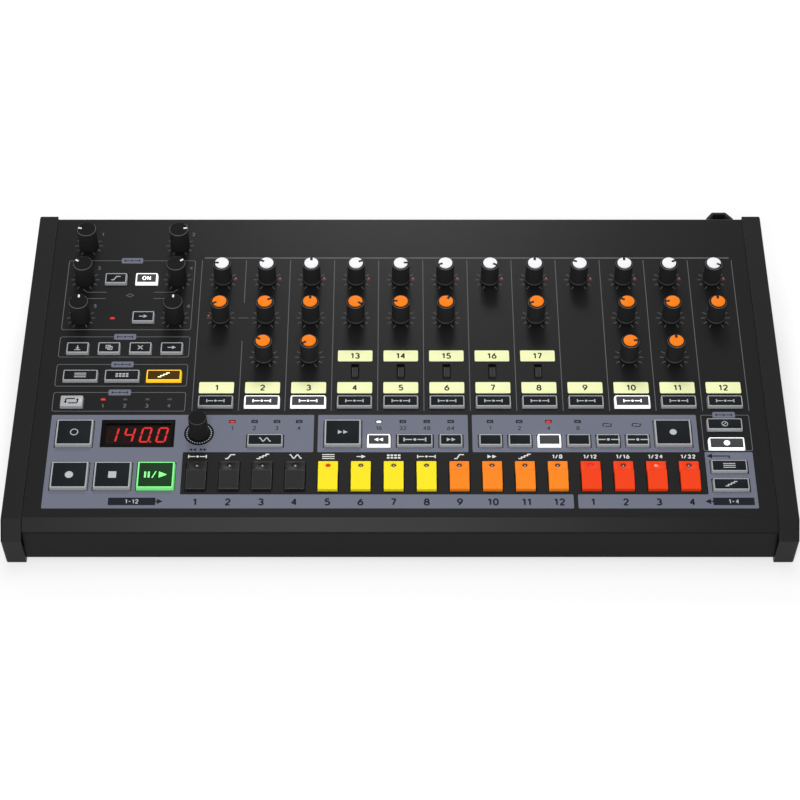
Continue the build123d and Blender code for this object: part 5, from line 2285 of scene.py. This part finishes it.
    def rocker(self, solid: Solid) -> Parts:
        """Housing and bezel of the power switch.

        Args:
            solid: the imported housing.

        Returns:
            The mesh and its finish.
        """
        wide, high, low, top = solid.size.x, solid.size.y, solid.low.z, solid.high.z
        profile = (
            (2.0, 0.6, low), (2.0, 0.6, -self.wall), (4.0, 0.6, -self.wall), (4.0, 0.6, 0.0), (0.0, 0.9, 0.0),
            (0.0, 0.9, top - 0.5), (0.8, 0.8, top), (5.5, 0.5, top), (6.0, 0.4, top - 0.3),
            (6.0, 0.4, low + 2),
        )
        steps = [(wide - inset, high - inset, corner, w) for inset, corner, w in profile]
        return [(Shell().stepped(steps).data(48), CONNECTOR_BLACK)]

    def inlet(self, solid: Solid) -> Parts:
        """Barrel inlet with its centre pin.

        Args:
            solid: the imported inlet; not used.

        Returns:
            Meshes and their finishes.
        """
        pin = [(1.0, -8.1), (1.0, -0.8), (0.6, -0.3)]
        floor = [(3.3, -8.3), (3.3, -7.9)]
        return [
            *self.body(CONNECTOR_WIDTHS["inlet"], 13.0),
            (Shell().turned(self.sleeve(4.5, 3.2, 8.0), closed=True).data(), CONNECTOR_BLACK),
            (Shell().turned(pin, 20).data(), CONNECTOR_METAL),
            (Shell().turned(floor, 30).data(), CONNECTOR_BLACK),
        ]


# ---- studio ---------------------------------------------------------------------------------
@dataclass(frozen=True)
class Lamp:
    """A soft square lamp; its places are in metres."""

    name: str
    where: tuple[float, float, float]
    towards: tuple[float, float, float]
    size: float
    power: float

    def light(self) -> None:
        """Put it into the scene."""
        data = bpy.data.lights.new(self.name, "AREA")
        data.size = self.size
        data.energy = self.power
        item = bpy.data.objects.new(self.name, data)
        item.location = self.where
        item.rotation_euler = (Vector(self.towards) - Vector(self.where)).to_track_quat("-Z", "Y").to_euler()
        bpy.context.scene.collection.objects.link(item)


@dataclass
class Studio:
    """Camera, lamps, world and the pale floor."""

    camera_place: tuple[float, float, float] = (0.0, -1.0922, 1.1179)
    camera_tilt: float = 44.612
    lens: float = 104.4
    lamps: tuple[Lamp, ...] = (
        Lamp("rear_softbox", (0.0, 1.2, 1.1), (0.0, 0.05, 0.0), 0.4, 8.0),
        Lamp("overhead", (0.0, 0.1, 1.5), (0.0, 0.0, 0.0), 0.9, 5.0),
        Lamp("front_fill", (-0.1, -1.2, 1.08), (0.0, 0.0, 0.0), 0.5, 12.5),
    )
    sky: float = 0.3
    floor_glow: float = 0.57
    floor_half: float = 4.0

    def build(self) -> None:
        """Set everything up."""
        self.camera()
        for lamp in self.lamps:
            lamp.light()
        self.world()
        self.floor()

    def camera(self) -> None:
        """The camera at its viewing angle."""
        data = bpy.data.cameras.new("view")
        data.lens = self.lens
        data.sensor_width = 36.0
        data.clip_start = 0.05
        item = bpy.data.objects.new("view", data)
        item.location = self.camera_place
        item.rotation_euler = (math.radians(self.camera_tilt), 0, 0)
        bpy.context.scene.collection.objects.link(item)
        bpy.context.scene.camera = item

    @staticmethod
    def strength(wiring: Wiring, seen: float, unseen: float) -> Socket:
        """A strength for camera, glossy and transmission rays, and another for the rest.

        Args:
            wiring: the tree it goes into.
            seen: the first strength.
            unseen: the second.

        Returns:
            The strength's socket.
        """
        rays = wiring.node("ShaderNodeLightPath").outputs
        total = rays["Is Camera Ray"]
        for name in ("Is Glossy Ray", "Is Transmission Ray"):
            total = wiring.math("MAXIMUM", total, rays[name])
        inputs = {"Value": total, "To Min": unseen, "To Max": seen}
        return wiring.node("ShaderNodeMapRange", inputs).outputs[0]

    def world(self) -> None:
        """Pale surroundings: white where they are seen, softer as light."""
        world = bpy.data.worlds.new("surroundings")
        world.use_nodes = True
        wiring = Wiring(world.node_tree)
        strength = self.strength(wiring, 1.0, self.sky)
        wiring.feed(world.node_tree.nodes["Background"], {"Color": (1, 1, 1, 1), "Strength": strength})
        bpy.context.scene.world = world
        bpy.context.scene.view_settings.view_transform = "Standard"

    def floor(self) -> None:
        """Plain pale floor that keeps the object's shadow."""
        half = self.floor_half
        corners = [(-half, -half, 0), (half, -half, 0), (half, half, 0), (-half, half, 0)]
        mesh = bpy.data.meshes.new("floor")
        mesh.from_pydata(corners, [], [(0, 1, 2, 3)])
        made = bpy.data.materials.new("floor_finish")
        made.use_nodes = True
        wiring = Wiring(made.node_tree)
        inputs = {
            "Base Color": MID_GREY, "Roughness": 0.9, "Specular IOR Level": 0.1,
            "Emission Color": (1, 1, 1, 1), "Emission Strength": self.strength(wiring, self.floor_glow, 0.0),
        }
        wiring.feed(made.node_tree.nodes["Principled BSDF"], inputs)
        mesh.materials.append(made)
        item = bpy.data.objects.new("floor", mesh)
        bpy.context.scene.collection.objects.link(item)


def key_sets(shop: Workshop) -> list[FramedKeys]:
    """The framed keys of every body, with their signs and which of them are lit.

    Args:
        shop: the workshop.

    Returns:
        One entry per body.
    """
    function_marks = [
        Mark.SLOPE, Mark.ON, Mark.RIGHT, Mark.DOWN, Mark.COPY, Mark.CROSS, Mark.RIGHT, Mark.BARS, Mark.GRID,
        Mark.STAIRS, Mark.LOOP, Mark.SLASH, Mark.WAVE, Mark.BACK, Mark.LINE, Mark.AHEAD, *[Mark.NONE] * 4,
        Mark.LINE, Mark.LINE, Mark.DOT, Mark.BARS, Mark.STAIRS,
    ]
    function_lit = {1: Glow.WHITE, 9: Glow.AMBER, 13: Glow.WHITE, 18: Glow.WHITE, 22: Glow.WHITE}
    select_lit = dict.fromkeys((1, 2, 9), Glow.WHITE)
    return [
        FramedKeys(shop, "select_keys", [Mark.LINE] * CHANNELS, select_lit, mark_scale=1.3),
        FramedKeys(shop, "function_keys", function_marks, function_lit, plain=10, mark_scale=1.6),
        FramedKeys(shop, "pad_keys", [Mark.RING, Mark.AHEAD, Mark.DOT], mark_scale=1.8),
        FramedKeys(shop, "record_key", [Mark.DOT], mark_scale=2.1),
        FramedKeys(shop, "stop_key", [Mark.SQUARE], mark_scale=2.1),
        FramedKeys(shop, "play_key", [Mark.PLAY], {0: Glow.GREEN}, mark_scale=2.1),
    ]


def main() -> None:
    """Build every sub-assembly in order."""
    logging.basicConfig(level=logging.INFO, format="%(name)s %(message)s")
    shop = Workshop.open()
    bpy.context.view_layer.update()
    Studio().build()
    Case(shop).build()
    PanelPrint(shop).build()
    Knobs(shop).build()
    for keys in key_sets(shop):
        keys.build()
    StepKeys(shop).build()
    VoiceSwitches(shop).build()
    Indicators(shop).build()
    Display(shop).build()
    RearPanel(shop).build()


if __name__ == "__main__":
    main()
